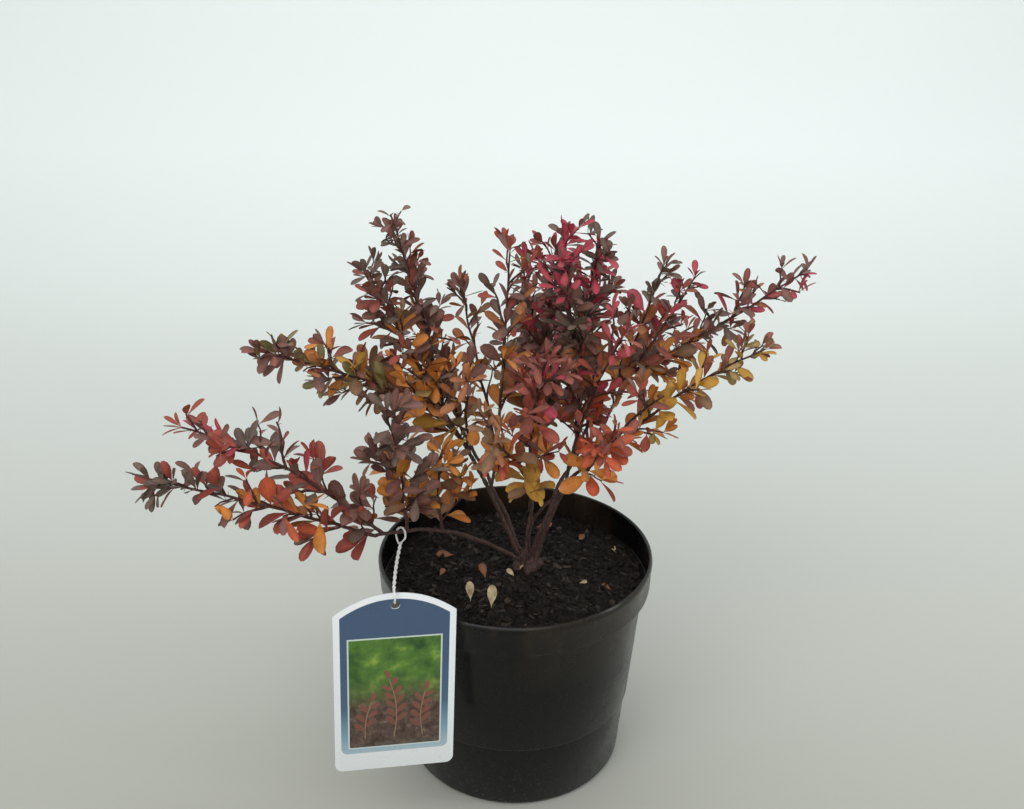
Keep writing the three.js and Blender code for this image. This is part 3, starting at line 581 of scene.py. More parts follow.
def tie_plastic():
    made = Finish("tie_white_plastic", roughness=0.4, specular=0.5)
    made.colour(made.ramp(made.grain(700, 3), (0.3, (0.62, 0.62, 0.6)), (0.7, (0.82, 0.82, 0.8))))
    made.bump(made.grain(1500, 2), 0.3, 0.0003)
    return made.material


def pale_paper(near, far):
    """Matt paper with painted shade: a little darker and warmer in front, lighter behind."""
    made = Finish("pale_paper", roughness=0.9, specular=0.1)
    # Painted shade: the paper passes from a darker, warmer tone in front to a light one behind
    painted_shade_tone = made.ramp(made.span(-1.6, 1.3, "Y"), (0.45, near), (1.0, far))
    mottle = made.ramp(made.grain(1.2, 2), (0.3, 0.97), (0.7, 1.0))
    made.colour(made.mix(1.0, painted_shade_tone, mottle, "MULTIPLY"))
    return made.material


# Modelling by hand


def object_mode():
    bpy.ops.object.mode_set(mode="OBJECT")


def deselect():
    if bpy.context.object is not None and bpy.context.object.mode != "OBJECT":
        object_mode()
    bpy.ops.object.select_all(action="DESELECT")


def pick(piece):
    deselect()
    piece.select_set(True)
    bpy.context.view_layer.objects.active = piece


def edit_all(piece):
    pick(piece)
    bpy.ops.object.mode_set(mode="EDIT")
    bpy.ops.mesh.select_all(action="SELECT")


def settle(piece, matrix=None, smooth=35):
    """Puts the piece's place in its mesh, and smooths its edges under an angle in degrees."""
    pick(piece)
    if matrix is not None:
        piece.matrix_world = matrix @ piece.matrix_world
    bpy.ops.object.transform_apply(location=True, rotation=True, scale=True)
    if smooth is not None:
        bpy.ops.object.shade_smooth_by_angle(angle=math.radians(smooth))
    return piece


def choose(piece, test):
    """Selects the vertices that pass a test of their place, with what lies between, to edit."""
    mesh = piece.data
    for vertex in mesh.vertices:
        vertex.select = test(vertex.co)
    for group in (mesh.edges, mesh.polygons):
        for part in group:
            part.select = all(mesh.vertices[v].select for v in part.vertices)
    bpy.ops.object.mode_set(mode="EDIT")


def face_out(piece):
    edit_all(piece)
    bpy.ops.mesh.remove_doubles(threshold=1e-6)
    bpy.ops.mesh.normals_make_consistent(inside=False)
    object_mode()


def modified(piece, kind, **settings):
    """Gives the piece a modifier with these settings, and applies it."""
    pick(piece)
    bpy.ops.object.modifier_add(type=kind)
    modifier = piece.modifiers[-1]
    for key, value in settings.items():
        setattr(modifier, key, value)
    bpy.ops.object.modifier_apply(modifier=modifier.name)


def extrude_up(height):
    bpy.ops.mesh.extrude_region_move(TRANSFORM_OT_translate={"value": (0, 0, height)})


def draw_rings(profile):
    """Extrudes the selected ring through the radii and heights of a profile."""
    for (r0, z0), (r1, z1) in zip(profile, profile[1:]):
        extrude_up(z1 - z0)
        bpy.ops.transform.resize(value=(r1 / r0, r1 / r0, 1), center_override=(0, 0, z1))


def finish_piece(piece, materials, slot, *nodes):
    piece.data.materials.clear()
    for material in materials:
        piece.data.materials.append(material)
    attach(piece, "root")
    if nodes:
        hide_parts(*nodes)


def drill(piece, place, radius, depth, vertices):
    """Takes an upright round hole out of the piece."""
    bpy.ops.mesh.primitive_cylinder_add(
        vertices=vertices, radius=radius, depth=depth, location=place)
    cutter = bpy.context.object
    modified(piece, "BOOLEAN", operation="DIFFERENCE", solver="EXACT", object=cutter)
    bpy.data.objects.remove(cutter)


def piped(points, radii, depth, resolution):
    """A path through the points with a round section, made a mesh."""
    bpy.ops.curve.primitive_nurbs_path_add()
    path = bpy.context.object
    spline = path.data.splines[0]
    spline.type = "POLY"
    spline.points.add(len(points) - len(spline.points))
    for point, place, radius in zip(spline.points, points, radii):
        point.co = (*place, 1)
        point.radius = radius
    path.data.bevel_depth = depth
    path.data.bevel_resolution = resolution
    path.data.use_fill_caps = True
    pick(path)
    bpy.ops.object.convert(target="MESH")
    return bpy.context.object


def joined(pieces, name):
    deselect()
    for piece in pieces:
        piece.select_set(True)
    bpy.context.view_layer.objects.active = pieces[0]
    bpy.ops.object.join()
    pieces[0].name = name
    return pieces[0]


def mesh_piece(name, vertices, faces, uv=None, material_index=None):
    """A joined mesh of many small things, from arrays in metres."""
    mesh = bpy.data.meshes.new(name)
    mesh.from_pydata(vertices, [], faces)
    if uv is not None:
        layer = mesh.uv_layers.new(name="leaf")
        loops = np.empty(len(mesh.loops), np.int32)
        mesh.loops.foreach_get("vertex_index", loops)
        layer.data.foreach_set("uv", np.asarray(uv, np.float32)[loops].ravel())
    if material_index is not None:
        mesh.polygons.foreach_set("material_index", np.asarray(material_index, np.int32))
    mesh.update()
    piece = bpy.data.objects.new(name, mesh)
    bpy.context.scene.collection.objects.link(piece)
    return piece


def made_piece(name, arrays, smooth, materials, slot, *nodes):
    """A finished piece of many small things, from its arrays."""
    piece = mesh_piece(name, *arrays)
    settle(piece, smooth=smooth)
    finish_piece(piece, materials, slot, *nodes)


# Growth, in millimetres from the plant's foot


def unit(vectors):
    vectors = np.asarray(vectors, float)
    return vectors / np.maximum(np.linalg.norm(vectors, axis=-1, keepdims=True), 1e-9)


def squared(toward, direction):
    """The unit vector nearest to one direction that is square to another."""
    return unit(toward - direction * (toward @ direction))


def half_up(value):
    return math.floor(value + 0.5)


class SeededDraw:
    """The same run of numbers from 0 to 1 for the same seed."""

    def __init__(self, seed):
        self.state = seed % 2 ** 32

    def __call__(self):
        self.state = (self.state * 1664525 + 1013904223) % 2 ** 32
        return self.state / 2 ** 32

    def within(self, low, high):
        return low + (high - low) * self()


class Shoot:
    """A straight run from foot to tip whose middle rises and bows, with a slight zigzag."""

    def __init__(self, foot, tip, rise=0.0, bow=0.0):
        self.foot = np.asarray(foot, float)
        self.run = np.asarray(tip, float) - self.foot
        self.rise = rise
        self.bow = bow
        left = np.array([-self.run[1], self.run[0], 0.0])
        self.left = unit(left) if left @ left >= 1 else np.array([0.0, 1.0, 0.0])
        self.kinks = max(1, half_up(np.linalg.norm(self.run) / KINK_SPACING / 2))
        steps = np.linalg.norm(np.diff(self.at(np.linspace(0, 1, 201)), axis=0), axis=1)
        self.length = float(steps.sum())

    def at(self, t):
        t = np.asarray(t, float)[..., None]
        swing = np.sin(np.pi * t)
        zigzag = KINK * np.sin(2 * np.pi * self.kinks * t)
        return (self.foot + self.run * t + self.left * (self.bow * swing + zigzag)
                + UP * self.rise * swing)

    def tangent(self, t):
        return unit(self.at(min(t + 1e-4, 1.0)) - self.at(max(t - 1e-4, 0.0)))

    def sideways(self, t, turn, angle):
        """The direction that leaves the shoot at t, at an angle to it, turned about it."""
        tangent = self.tangent(t)
        across = np.cross(tangent, UP)
        across = unit(across) if across @ across >= 0.01 else np.array([1.0, 0.0, 0.0])
        above = unit(np.cross(across, tangent))
        outward = across * math.cos(turn) + above * math.sin(turn)
        return tangent * math.cos(angle) + outward * math.sin(angle)


def from_foot(bearing, reach, height):
    angle = math.radians(bearing)
    return np.array([reach * math.cos(angle), reach * math.sin(angle), height])


def grow_axes():
    """The curve of every limb and of every mass's main shoot."""
    shoots = {}
    for name, run in {**LIMBS, **MASSES}.items():
        tip = from_foot(run.bearing, run.reach, run.height)
        foot = (from_foot(run.bearing, *STEM_START) if run.origin == "root_crown"
                else shoots[run.origin].at(run.at))
        back = END_LEAF if name in MASSES else 0.0
        shoots[name] = Shoot(foot, tip + unit(foot - tip) * back, run.rise, run.bow)
    return shoots


class Space:
    """Which points are free: clear of the limbs and the tie, and nearest to their own shoot."""

    def __init__(self, shoots):
        samples = np.linspace(0, 1, AXIS_SAMPLES + 1)
        self.limbs = [(shoots[name].at(samples), limb.foot_radius, limb.tip_radius)
                      for name, limb in LIMBS.items()]
        self.masses = {name: (shoots[name].at(samples), 0.0, 0.0) for name in MASSES}
        top = shoots["stem_low_left"].at(TIE_AT)
        self.tie = (np.array([top, TIE_END - PLANT_FOOT]), TIE_RADIUS, TIE_RADIUS)
        self.low, self.high = (np.array(corner) * 1000 - PLANT_FOOT for corner in CAD_BOX)

    @staticmethod
    def distance(points, line):
        nodes, foot_radius, tip_radius = line
        start, run = nodes[:-1], np.diff(nodes, axis=0)
        offset = points[:, None] - start
        along = np.clip((offset * run).sum(-1) / (run * run).sum(-1), 0, 1)
        gap = np.linalg.norm(offset - run * along[..., None], axis=-1)
        shares = (np.arange(len(run)) + 0.5) / len(run)
        return (gap - (foot_radius + (tip_radius - foot_radius) * shares)).min(axis=1)

    def free(self, points, name, margin, clearance):
        points = np.atleast_2d(points)
        good = points[:, 2] > LEAF_FLOOR
        good &= ((points > self.low) & (points < self.high)).all(axis=1)
        good &= self.distance(points, self.tie) > clearance + TIE_CLEARANCE
        for line in self.limbs:
            good &= self.distance(points, line) > clearance
        own = self.distance(points, self.masses[name])
        for other, line in self.masses.items():
            if other != name:
                good &= own + margin < self.distance(points, line)
        return good


def side_twigs(space, name, axis, draw, spacing, spread, shortest, margin):
    """Side twigs all round a shoot, each cut back until it is free or too short."""
    count = max(2, half_up(axis.length / spacing))
    twigs = []
    turn = draw() * 2 * math.pi
    for k in range(count):
        t = (k + TWIG_FIRST) / (count + TWIG_LAST)
        turn += GOLDEN_TURN + (draw() - 0.5) * TWIG_TURN_SPREAD
        direction = axis.sideways(t, turn, TWIG_ANGLE) + UP * TWIG_LIFT
        foot = axis.at(t)
        length = spread * (1 - TWIG_TIP_SHRINK * t) * (TWIG_LEAST + TWIG_SPREAD * draw())
        while length > shortest:
            twig = Shoot(foot, foot + direction * length, length * TWIG_RISE)
            if space.free(twig.at(TWIG_TESTS), name, margin, TWIG_CLEARANCE).all():
                twigs.append((twig, t))
                break
            length *= TWIG_CUT_BACK
    return twigs


class Plant:
    """Everything that grows: limbs, shoots, twigs, spines and leaves."""

    def __init__(self, sizes):
        self.shoots = grow_axes()
        self.space = Space(self.shoots)
        self.twigs = []
        self.spines = []
        self.leaves = []
        for number, name in enumerate(MASSES):
            self.grow_mass(number, name, sizes)

    def grow_mass(self, number, name, sizes):
        """Grows one mass; its first run of draws is the one that its solids take."""
        axis, mass = self.shoots[name], MASSES[name]
        draw = SeededDraw(FIRST_SEED + SEED_STEP * number)
        solid_leaves = int((axis.length - LEAF_PITCH * 1.5) // LEAF_PITCH) + 1
        for _ in range(1 + DRAWS_PER_LEAF * solid_leaves):
            draw()
        main = side_twigs(self.space, name, axis, draw, TWIG_SPACING, mass.spread,
                          SHORTEST_TWIG, TWIG_MARGIN)
        own = SeededDraw(FINE_SEED + SEED_STEP * number)
        spacing = sizes.twig_spacing * 1000 / mass.fullness
        pitch = sizes.pitch * 1000 / mass.fullness
        fine = side_twigs(self.space, name, axis, own, spacing, mass.spread * FINE_SPREAD,
                          SHORTEST_FINE_TWIG, 0)
        rest = (mass.largest * sizes.scale, mass.tints, own, pitch)
        found = self.rosettes(axis, 0.0, True, *rest)
        for twigs, radii in ((main, TWIG_RADII), (fine, FINE_RADII)):
            for twig, t in twigs:
                self.twigs.append((twig, *radii))
                found += self.rosettes(twig, t, False, *rest)
        self.keep_free(found, name)

    def rosettes(self, shoot, shrink_from, is_axis, largest, tints, draw, pitch):
        """Rosettes of leaves at every node of a shoot, and spines at most of them."""
        leaves = []
        turn = draw() * 2 * math.pi
        tint = self.dealt(tints, shrink_from, draw)
        place = pitch * FIRST_NODE
        last_change = 0.0
        while place < shoot.length + pitch * 0.5:
            t = min(place / shoot.length, 1.0)
            at_tip = t > 0.999
            along = shrink_from + (1 - shrink_from) * t
            turn += GOLDEN_TURN + draw.within(*TURN_SPREAD)
            angle = math.radians(TIP_ANGLE if at_tip else NODE_ANGLE)
            facing = unit(shoot.sideways(t, turn, angle) + UP * NODE_LIFT)
            root = shoot.at(t)
            if is_axis and place - last_change > TINT_RUN:
                tint = self.dealt(tints, along, draw)
                last_change = place
            size = largest * (1 - TIP_SHORTENING * along * along)
            count = LEAVES_AT_TIP if at_tip else 1 + int(draw() * LEAVES_AT_NODE)
            start = draw() * 2 * math.pi
            across = unit(np.cross(facing, shoot.tangent(t) + 0.01))
            above = np.cross(facing, across)
            for k in range(count):
                around = start + 2 * math.pi * k / count + draw.within(*AROUND_SPREAD)
                opening = math.radians(draw.within(*OPENING))
                direction = unit(facing * math.cos(opening) + math.sin(opening)
                                 * (across * math.cos(around) + above * math.sin(around)))
                toward = facing * FACING_OUT + UP * FACING_UP + np.array(
                    [draw.within(*span) for span in FACING_SPREAD])
                normal = squared(toward, direction)
                own_tint = tint if draw() > STRAY_TINT else self.dealt(tints, along, draw)
                blade = size * draw.within(*LENGTH_SPREAD)
                width = draw.within(*WIDTH_SPREAD) * (1 - TIP_NARROWING * along * along)
                leaves.append(Leaf(root, direction, normal, blade, width,
                                   draw.within(*CURL_SPREAD), draw.within(*FOLD_SPREAD), own_tint))
            if not at_tip and draw() > BARE_NODE:
                thorn = shoot.sideways(t, turn + THORN_TURN, math.radians(THORN_ANGLE))
                share = draw.within(*THORN_SPREAD) * (1 - TIP_SHORTENING * along)
                self.spines.append((root, unit(thorn - UP * THORN_DROP), share))
            place += pitch * draw.within(*NODE_SPREAD)
        return leaves

    @staticmethod
    def dealt(tints, along, draw):
        """One of the tints near a place between the foot and the tip of the shoot."""
        place = min(0.999, max(0.0, along + draw.within(*TINT_REACH)))
        return tints[int(place * len(tints))]

    def keep_free(self, leaves, name):
        """Keeps the leaves whose outline stays in the mass's own space."""
        root, direction, normal, blade = columns(leaves, "root", "direction", "normal", "length")
        blade = blade[:, None]
        side = np.cross(normal, direction)
        good = np.ones(len(leaves), bool)
        for share, out in LEAF_OUTLINE:
            points = root + direction * blade * share + side * blade * out
            good &= self.space.free(points, name, LEAF_MARGIN, LEAF_CLEARANCE)
        self.leaves += [leaf for leaf, ok in zip(leaves, good) if ok]


def columns(leaves, *keys):
    """An array for each of the keys, with a row for each leaf."""
    return [np.array([getattr(leaf, key) for leaf in leaves]) for key in keys]


GROWN = {}


def grown_plant(sizes):
    """The plant for these sizes, grown once."""
    key = (sizes.scale, sizes.pitch, sizes.twig_spacing)
    if key not in GROWN:
        GROWN[key] = Plant(sizes)
    return GROWN[key]


def metres(points):
    return (np.asarray(points) + PLANT_FOOT) / 1000


# Shapes of shoots and leaves as arrays


def tube(points, radii, sides):
    """A tapering rod through the points, closed at both ends."""
    points = np.asarray(points, float)
    tangents = unit(np.gradient(points, axis=0))
    guide = np.array([0.3, 0.9, 0.1]) if abs(tangents[0][1]) < 0.9 else np.array([1.0, 0.1, 0.2])
    first = unit(guide - tangents * (tangents @ guide)[:, None])
    second = np.cross(tangents, first)
    angles = np.arange(sides) * 2 * np.pi / sides
    rings = (points[:, None] + np.asarray(radii)[:, None, None]
             * (first[:, None] * np.cos(angles)[None, :, None]
                + second[:, None] * np.sin(angles)[None, :, None]))
    faces = [tuple(reversed(range(sides)))]
    for ring in range(len(points) - 1):
        low, high = ring * sides, (ring + 1) * sides
        for k in range(sides):
            after = (k + 1) % sides
            faces.append((low + k, low + after, high + after, high + k))
    last = (len(points) - 1) * sides
    faces.append(tuple(last + k for k in range(sides)))
    return rings.reshape(-1, 3), faces


def gathered(parts):
    """Vertices and faces of many parts in one list."""
    vertices, faces, count = [], [], 0
    for part_vertices, part_faces in parts:
        vertices.append(part_vertices)
        faces += [tuple(index + count for index in face) for face in part_faces]
        count += len(part_vertices)
    return np.concatenate(vertices), faces


# Along a leaf: the place from root to tip, and the half width as a share of the widest
LEAF_STATIONS = ((0.0, 0.05), (0.12, 0.11), (0.28, 0.41), (0.45, 0.78), (0.64, 1.0),
                 (0.82, 0.93), (0.95, 0.56), (1.0, 0.0))
LEAF_THICKNESS = 0.3
LEAF_THINNING = 0.6


def leaf_arrays(leaves, sizes):
    """Obovate blades with a folded upper side and a rounded underside, in metres."""
    root, direction, normal = columns(leaves, "root", "direction", "normal")
    blade, width, curl, fold = columns(leaves, "length", "width", "curl", "fold")
    side = np.cross(normal, direction)
    half = blade * sizes.width * 0.5 * width
    lift = np.tan(sizes.fold * fold)
    rings, uv = [], []
    for place, share in LEAF_STATIONS:
        droop = -curl * blade * place ** 2
        centre = root + direction * (blade * place)[:, None] + normal * droop[:, None]
        out = side * (half * share)[:, None]
        up = normal * (half * share * lift)[:, None]
        under = normal * (-LEAF_THICKNESS * (1 - LEAF_THINNING * place))
        if share == 0:
            rings.append(centre)
            uv.append((0.5, place))
        else:
            rings += [centre + out + up, centre, centre - out + up, centre + under]
            uv += [(1.0, place), (0.5, place), (0.0, place), (0.5, place)]
    block = np.stack(rings, axis=1)
    faces, surface = [(0, 1, 3), (1, 2, 3)], [1, 1]
    for k in range(len(LEAF_STATIONS) - 2):
        a, b = 4 * k, 4 * k + 4
        faces += [(a + 1, b + 1, b, a), (a + 2, b + 2, b + 1, a + 1)]
        faces += [(a, b, b + 3, a + 3), (a + 3, b + 3, b + 2, a + 2)]
        surface += [0, 0, 1, 1]
    a = 4 * (len(LEAF_STATIONS) - 2)
    tip = a + 4
    faces += [(a + 1, tip, a), (a + 2, tip, a + 1), (a, tip, a + 3), (a + 3, tip, a + 2)]
    surface += [0, 0, 1, 1]
    per_leaf = block.shape[1]
    every = [tuple(index + per_leaf * n for index in face)
             for n in range(len(leaves)) for face in faces]
    chart = np.tile(uv, (len(leaves), 1))
    return metres(block.reshape(-1, 3)), every, chart, surface * len(leaves)


# Pieces

# The pot's drain holes, the ring that they stand on, and how far its wall steps in at the foot
DRAIN_HOLES = 6
DRAIN_HOLE = 0.005
DRAIN_RING = 0.058
STEP_IN = 0.0013


class PLANT_OT_pot(bpy.types.Operator):
    """Throw the nursery pot: a tapered body, a deep rim band and a ring of drain holes"""
    bl_idname = "barberry.pot"
    bl_label = "Pot"

    def execute(self, context):
        s = context.scene.barberry_pot
        pot = self.thrown(s, self.outside(s) + self.inside(s))
        for k in range(DRAIN_HOLES):
            turn = 2 * math.pi * (k + 0.5) / DRAIN_HOLES
            place = (DRAIN_RING * math.cos(turn), DRAIN_RING * math.sin(turn), 0.0)
            drill(pot, place, DRAIN_HOLE, 0.012, 28)
        settle(pot, smooth=32)
        finish_piece(pot, [pot_plastic(tuple(s.colour))], "pot_plastic", "pot")
        return {"FINISHED"}

    def wall(self, s, height):
        """Outside radius of the wall at a height, which steps in near the foot."""
        inset = STEP_IN if height < s.step else 0.0
        share = height / (s.height - s.band)
        return s.foot + STEP_IN + (s.body_top - s.foot - STEP_IN) * share - inset

    def outside(self, s):
        """Radii and heights from the underside up to the rim."""
        band, rim, top, step = s.height - s.band, s.rim_radius, s.height, s.step
        return [
            (s.foot - 0.0040, 0.0), (s.foot - 0.0022, 0.0004), (s.foot - 0.0009, 0.0016),
            (self.wall(s, 0.004), 0.004), (self.wall(s, step - 0.002), step - 0.002),
            (self.wall(s, step - 0.0008), step - 0.0008),
            (self.wall(s, step) - 0.0003, step + 0.0002), (self.wall(s, step), step + 0.0012),
            (self.wall(s, 0.09), 0.09), (self.wall(s, band) - 0.0002, band - 0.0014),
            (self.wall(s, band) + 0.0006, band - 0.0004), (rim - 0.0022, band),
            (rim - 0.0012, band + 0.0005), (rim - 0.0009, band + 0.0018),
            (rim - 0.0005, top - 0.006), (rim - 0.0001, top - 0.0048), (rim, top - 0.0024),
            (rim - 0.0003, top - 0.0008), (rim - 0.001, top),
        ]

    def inside(self, s):
        """Radii and heights from the rim down to the floor."""
        band, rim, top, step = s.height - s.band, s.rim_radius, s.height, s.step
        return [
            (rim - s.wall, top), (rim - s.wall - 0.0006, top - 0.0008),
            (rim - s.wall - 0.0009, band + 0.001),
            (self.wall(s, band) - s.wall - 0.0004, band - 0.0012),
            (self.wall(s, step) - s.wall, step + 0.0013),
            (self.wall(s, step - 0.001) - s.wall, step),
            (self.wall(s, 0.004) - s.wall, 0.0045), (self.wall(s, 0.004) - s.wall - 0.002, 0.0026),
        ]

    def thrown(self, s, profile):
        """Rings drawn up one after another from a round foot, as a pot is thrown."""
        radius, height = profile[0]
        bpy.ops.mesh.primitive_circle_add(
            vertices=s.sides, radius=radius, fill_type="NGON", location=(0, 0, height))
        pot = bpy.context.object
        pot.name = "nursery_pot"
        edit_all(pot)
        draw_rings(profile)
        object_mode()
        face_out(pot)
        return pot


# The soil: how much lower its edge is, the calm band there, its lumps and clods per metre with
# their shares of the relief, how far the relief sinks, the mound at the stems, and its radii and
# heights inside the wall of the pot
SOIL_EDGE_DROP = 0.0027
CALM_EDGE = 0.006
LUMPS, LUMP_SHARE = 55, 0.45
CLODS, CLOD_SHARE = 120, 0.5
RELIEF_SINK = 0.0012
MOUND_HEIGHT, MOUND_RADIUS = 0.002, 0.02
SOIL_SIDE = ((0.0857, 0.1346), (0.0789, 0.0535), (0.0776, 0.0505), (0.0734, 0.0032))


def soil_height(x, y, sizes):
    """Height of the soil at a place: level, lumpy, and lower towards the wall."""
    radius = math.hypot(x, y)
    level = np.interp(radius, [0, 0.03, 0.06, sizes.radius],
                      [sizes.top, sizes.top, sizes.top - 0.001, sizes.top - SOIL_EDGE_DROP])
    calm = min(1.0, (sizes.radius - radius) / CALM_EDGE)
    point = Vector((x * LUMPS, y * LUMPS, 3.7))
    lumps = noise.fractal(point, 0.7, 2.1, 5, noise_basis="PERLIN_ORIGINAL")
    clods = abs(noise.noise(Vector((x * CLODS, y * CLODS, 9.1))))
    foot = math.hypot(x - PLANT_FOOT[0] / 1000, y - PLANT_FOOT[1] / 1000)
    mound = MOUND_HEIGHT * math.exp(-(foot / MOUND_RADIUS) ** 2)
    relief = sizes.roughness * (LUMP_SHARE * lumps + CLOD_SHARE * clods) - RELIEF_SINK
    return float(level) + mound + max(0.0, calm) * relief


class PLANT_OT_soil(bpy.types.Operator):
    """Fill the pot with moist peat, lumpy on top"""
    bl_idname = "barberry.soil"
    bl_label = "Soil"

    def execute(self, context):
        s = context.scene.barberry_soil
        bpy.ops.mesh.primitive_grid_add(x_subdivisions=128, y_subdivisions=128, size=2)
        soil = bpy.context.object
        soil.name = "soil_bed"
        # The square grid is drawn in to a disc
        for vertex in soil.data.vertices:
            x, y, _ = vertex.co
            round_x = x * math.sqrt(1 - y * y / 2) * s.radius
            round_y = y * math.sqrt(1 - x * x / 2) * s.radius
            vertex.co = (round_x, round_y, soil_height(round_x, round_y, s))
        edit_all(soil)
        bpy.ops.mesh.region_to_loop()
        draw_rings([(s.radius, s.top - SOIL_EDGE_DROP), *SOIL_SIDE])
        bpy.ops.mesh.edge_face_add()
        object_mode()
        face_out(soil)
        settle(soil, smooth=60)
        finish_piece(soil, [peat("peat", tuple(s.colour), (0.09, 0.06, 0.038))],
                     "potting_soil", "soil")
        return {"FINISHED"}


def pebble(seed, roundness):
    """One crumb, modelled once: a dented ball of twenty faces."""
    bpy.ops.mesh.primitive_ico_sphere_add(subdivisions=1, radius=1)
    ball = bpy.context.object
    edit_all(ball)
    bpy.ops.transform.vertex_random(offset=roundness, uniform=0.3, seed=seed)
    object_mode()
    vertices = np.array([vertex.co for vertex in ball.data.vertices])
    faces = [tuple(polygon.vertices) for polygon in ball.data.polygons]
    bpy.data.objects.remove(ball)
    return vertices, faces


def strewn(model, count, seed, sizes, spans):
    """Copies of a crumb all over the soil, each turned, stretched and half sunk."""
    draw = np.random.RandomState(seed)
    vertices, faces = model
    parts = []
    while len(parts) < count:
        x, y = draw.uniform(-sizes.radius, sizes.radius, 2)
        if math.hypot(x, y) > sizes.radius - 0.003:
            continue
        stretch = np.array([draw.uniform(*span) for span in spans])
        turn = np.array(Euler(draw.uniform(-0.5, 0.5, 2).tolist()
                              + [draw.uniform(0, 2 * math.pi)]).to_matrix())
        place = np.array([x, y, soil_height(x, y, sizes) + stretch[2] * draw.uniform(-0.1, 0.6)])
        parts.append(((vertices * stretch) @ turn.T + place, faces))
    return gathered(parts)


# Crumbs of peat, larger crumbs and chips of bark: how long, wide and high they may be
SMALL_CRUMB = ((0.0006, 0.0026), (0.0006, 0.002), (0.0004, 0.0014))
LARGE_CRUMB = ((0.0017, 0.0048), (0.0015, 0.0038), (0.001, 0.0024))
LONG_CHIP = ((0.0012, 0.0062), (0.0007, 0.0024), (0.0003, 0.001))

# Leaves on the soil, in millimetres and degrees: x, y, turn, lift and length
WITHERED = ((-29, -38, 100, 70, 13), (-15, -46, 80, 74, 15), (0, -7, 150, 35, 8),
            (3, -2, 60, 40, 8), (72, 31, 110, 12, 9), (44, -12, 20, 8, 6))
FALLEN = ((-20, -12, 110, 34, 13), (-44, 22, 200, 16, 13), (50, 52, 250, 10, 10),
          (14, 60, 15, 12, 13), (-52, -10, 70, 12, 9), (66, -16, 140, 8, 9))

# How such a leaf lies: its height over the soil, where its face turns, its width, curl and fold
LYING_LIFT = 0.8
LYING_FACE = np.array([0.1, -0.6, 0.8])
LYING_SHAPE = (0.95, 0.14, 1.3)


class PLANT_OT_litter(bpy.types.Operator):
    """Strew crumbs of peat, chips of bark and a few withered leaves over the soil"""
    bl_idname = "barberry.litter"
    bl_label = "Crumbs and litter"

    def execute(self, context):
        s = context.scene.barberry_soil
        crumb = pebble(3, 0.25)
        crumbs = gathered([strewn(crumb, s.crumbs, 11, s, SMALL_CRUMB),
                           strewn(pebble(5, 0.4), s.crumbs // 9, 37, s, LARGE_CRUMB)])
        made_piece("peat_crumbs", crumbs, None,
                   [peat("peat_crumb", (0.017, 0.012, 0.0095), (0.075, 0.055, 0.04))],
                   "potting_soil")
        made_piece("bark_chips", strewn(crumb, s.chips, 23, s, LONG_CHIP), None,
                   [bark("chip_bark", (0.045, 0.033, 0.025), 0.8)], "potting_soil")
        sizes = context.scene.barberry_leaf
        pale, rust = withered_leaf(), linear("#7e5638")
        self.fallen("withered_leaves", WITHERED, [pale, pale], "leaf_ochre", s, sizes)
        fresh = [leaf_upper("fallen_upper", rust), leaf_under("fallen_under", rust)]
        self.fallen("fallen_leaves", FALLEN, fresh, "leaf_russet", s, sizes)
        return {"FINISHED"}

    def fallen(self, name, rows, materials, slot, soil, sizes):
        """Leaves lying or standing on the soil, each by place, turn, lift and length."""
        leaves = []
        for x, y, turn, lift, blade in rows:
            root = np.array([x, y, soil_height(x / 1000, y / 1000, soil) * 1000 + LYING_LIFT])
            angle, rise = math.radians(turn), math.radians(lift)
            direction = np.array([math.cos(angle) * math.cos(rise),
                                  math.sin(angle) * math.cos(rise), math.sin(rise)])
            normal = squared(LYING_FACE, direction)
            leaves.append(Leaf(root - PLANT_FOOT, direction, normal, blade, *LYING_SHAPE, ""))
        made_piece(name, leaf_arrays(leaves, sizes), 60, materials, slot)


# A limb's section as shares of the solid's: plain, its knots' and its foot's flare, and how slim
# it is at its foot and tip, with the knots' spacing, the flare's length and the rings' spacing
PLAIN_SECTION = 0.82
KNOT, KNOT_SPACING, KNOT_SHARPNESS = 0.12, 9.0, 14
FLARE, FLARE_LENGTH = 0.2, 6.0
SLIM_FOOT, FULL_FOOT, SLIM_TIP = 0.64, 0.96, 0.86
LIMB_STEP = 1.9

# The collar: radius, how far its middle stands over the plant's foot and its cut lies under it,
# how steep it is, the size, number and phase of its lobes, its height, its girth at the foot and
# how much that narrows up to its top, and how deep its bark is against a limb's
COLLAR_RADIUS = 0.01
COLLAR_RISE, COLLAR_CUT = 0.002, 0.0015
COLLAR_STRETCH = 1.15
COLLAR_LOBES = ((0.14, 5, 0.6), (0.08, 8, 0.0))
COLLAR_TOP = 0.012
COLLAR_GIRTH, COLLAR_NARROWING = 1.05, 0.42
COLLAR_RELIEF = 1.6


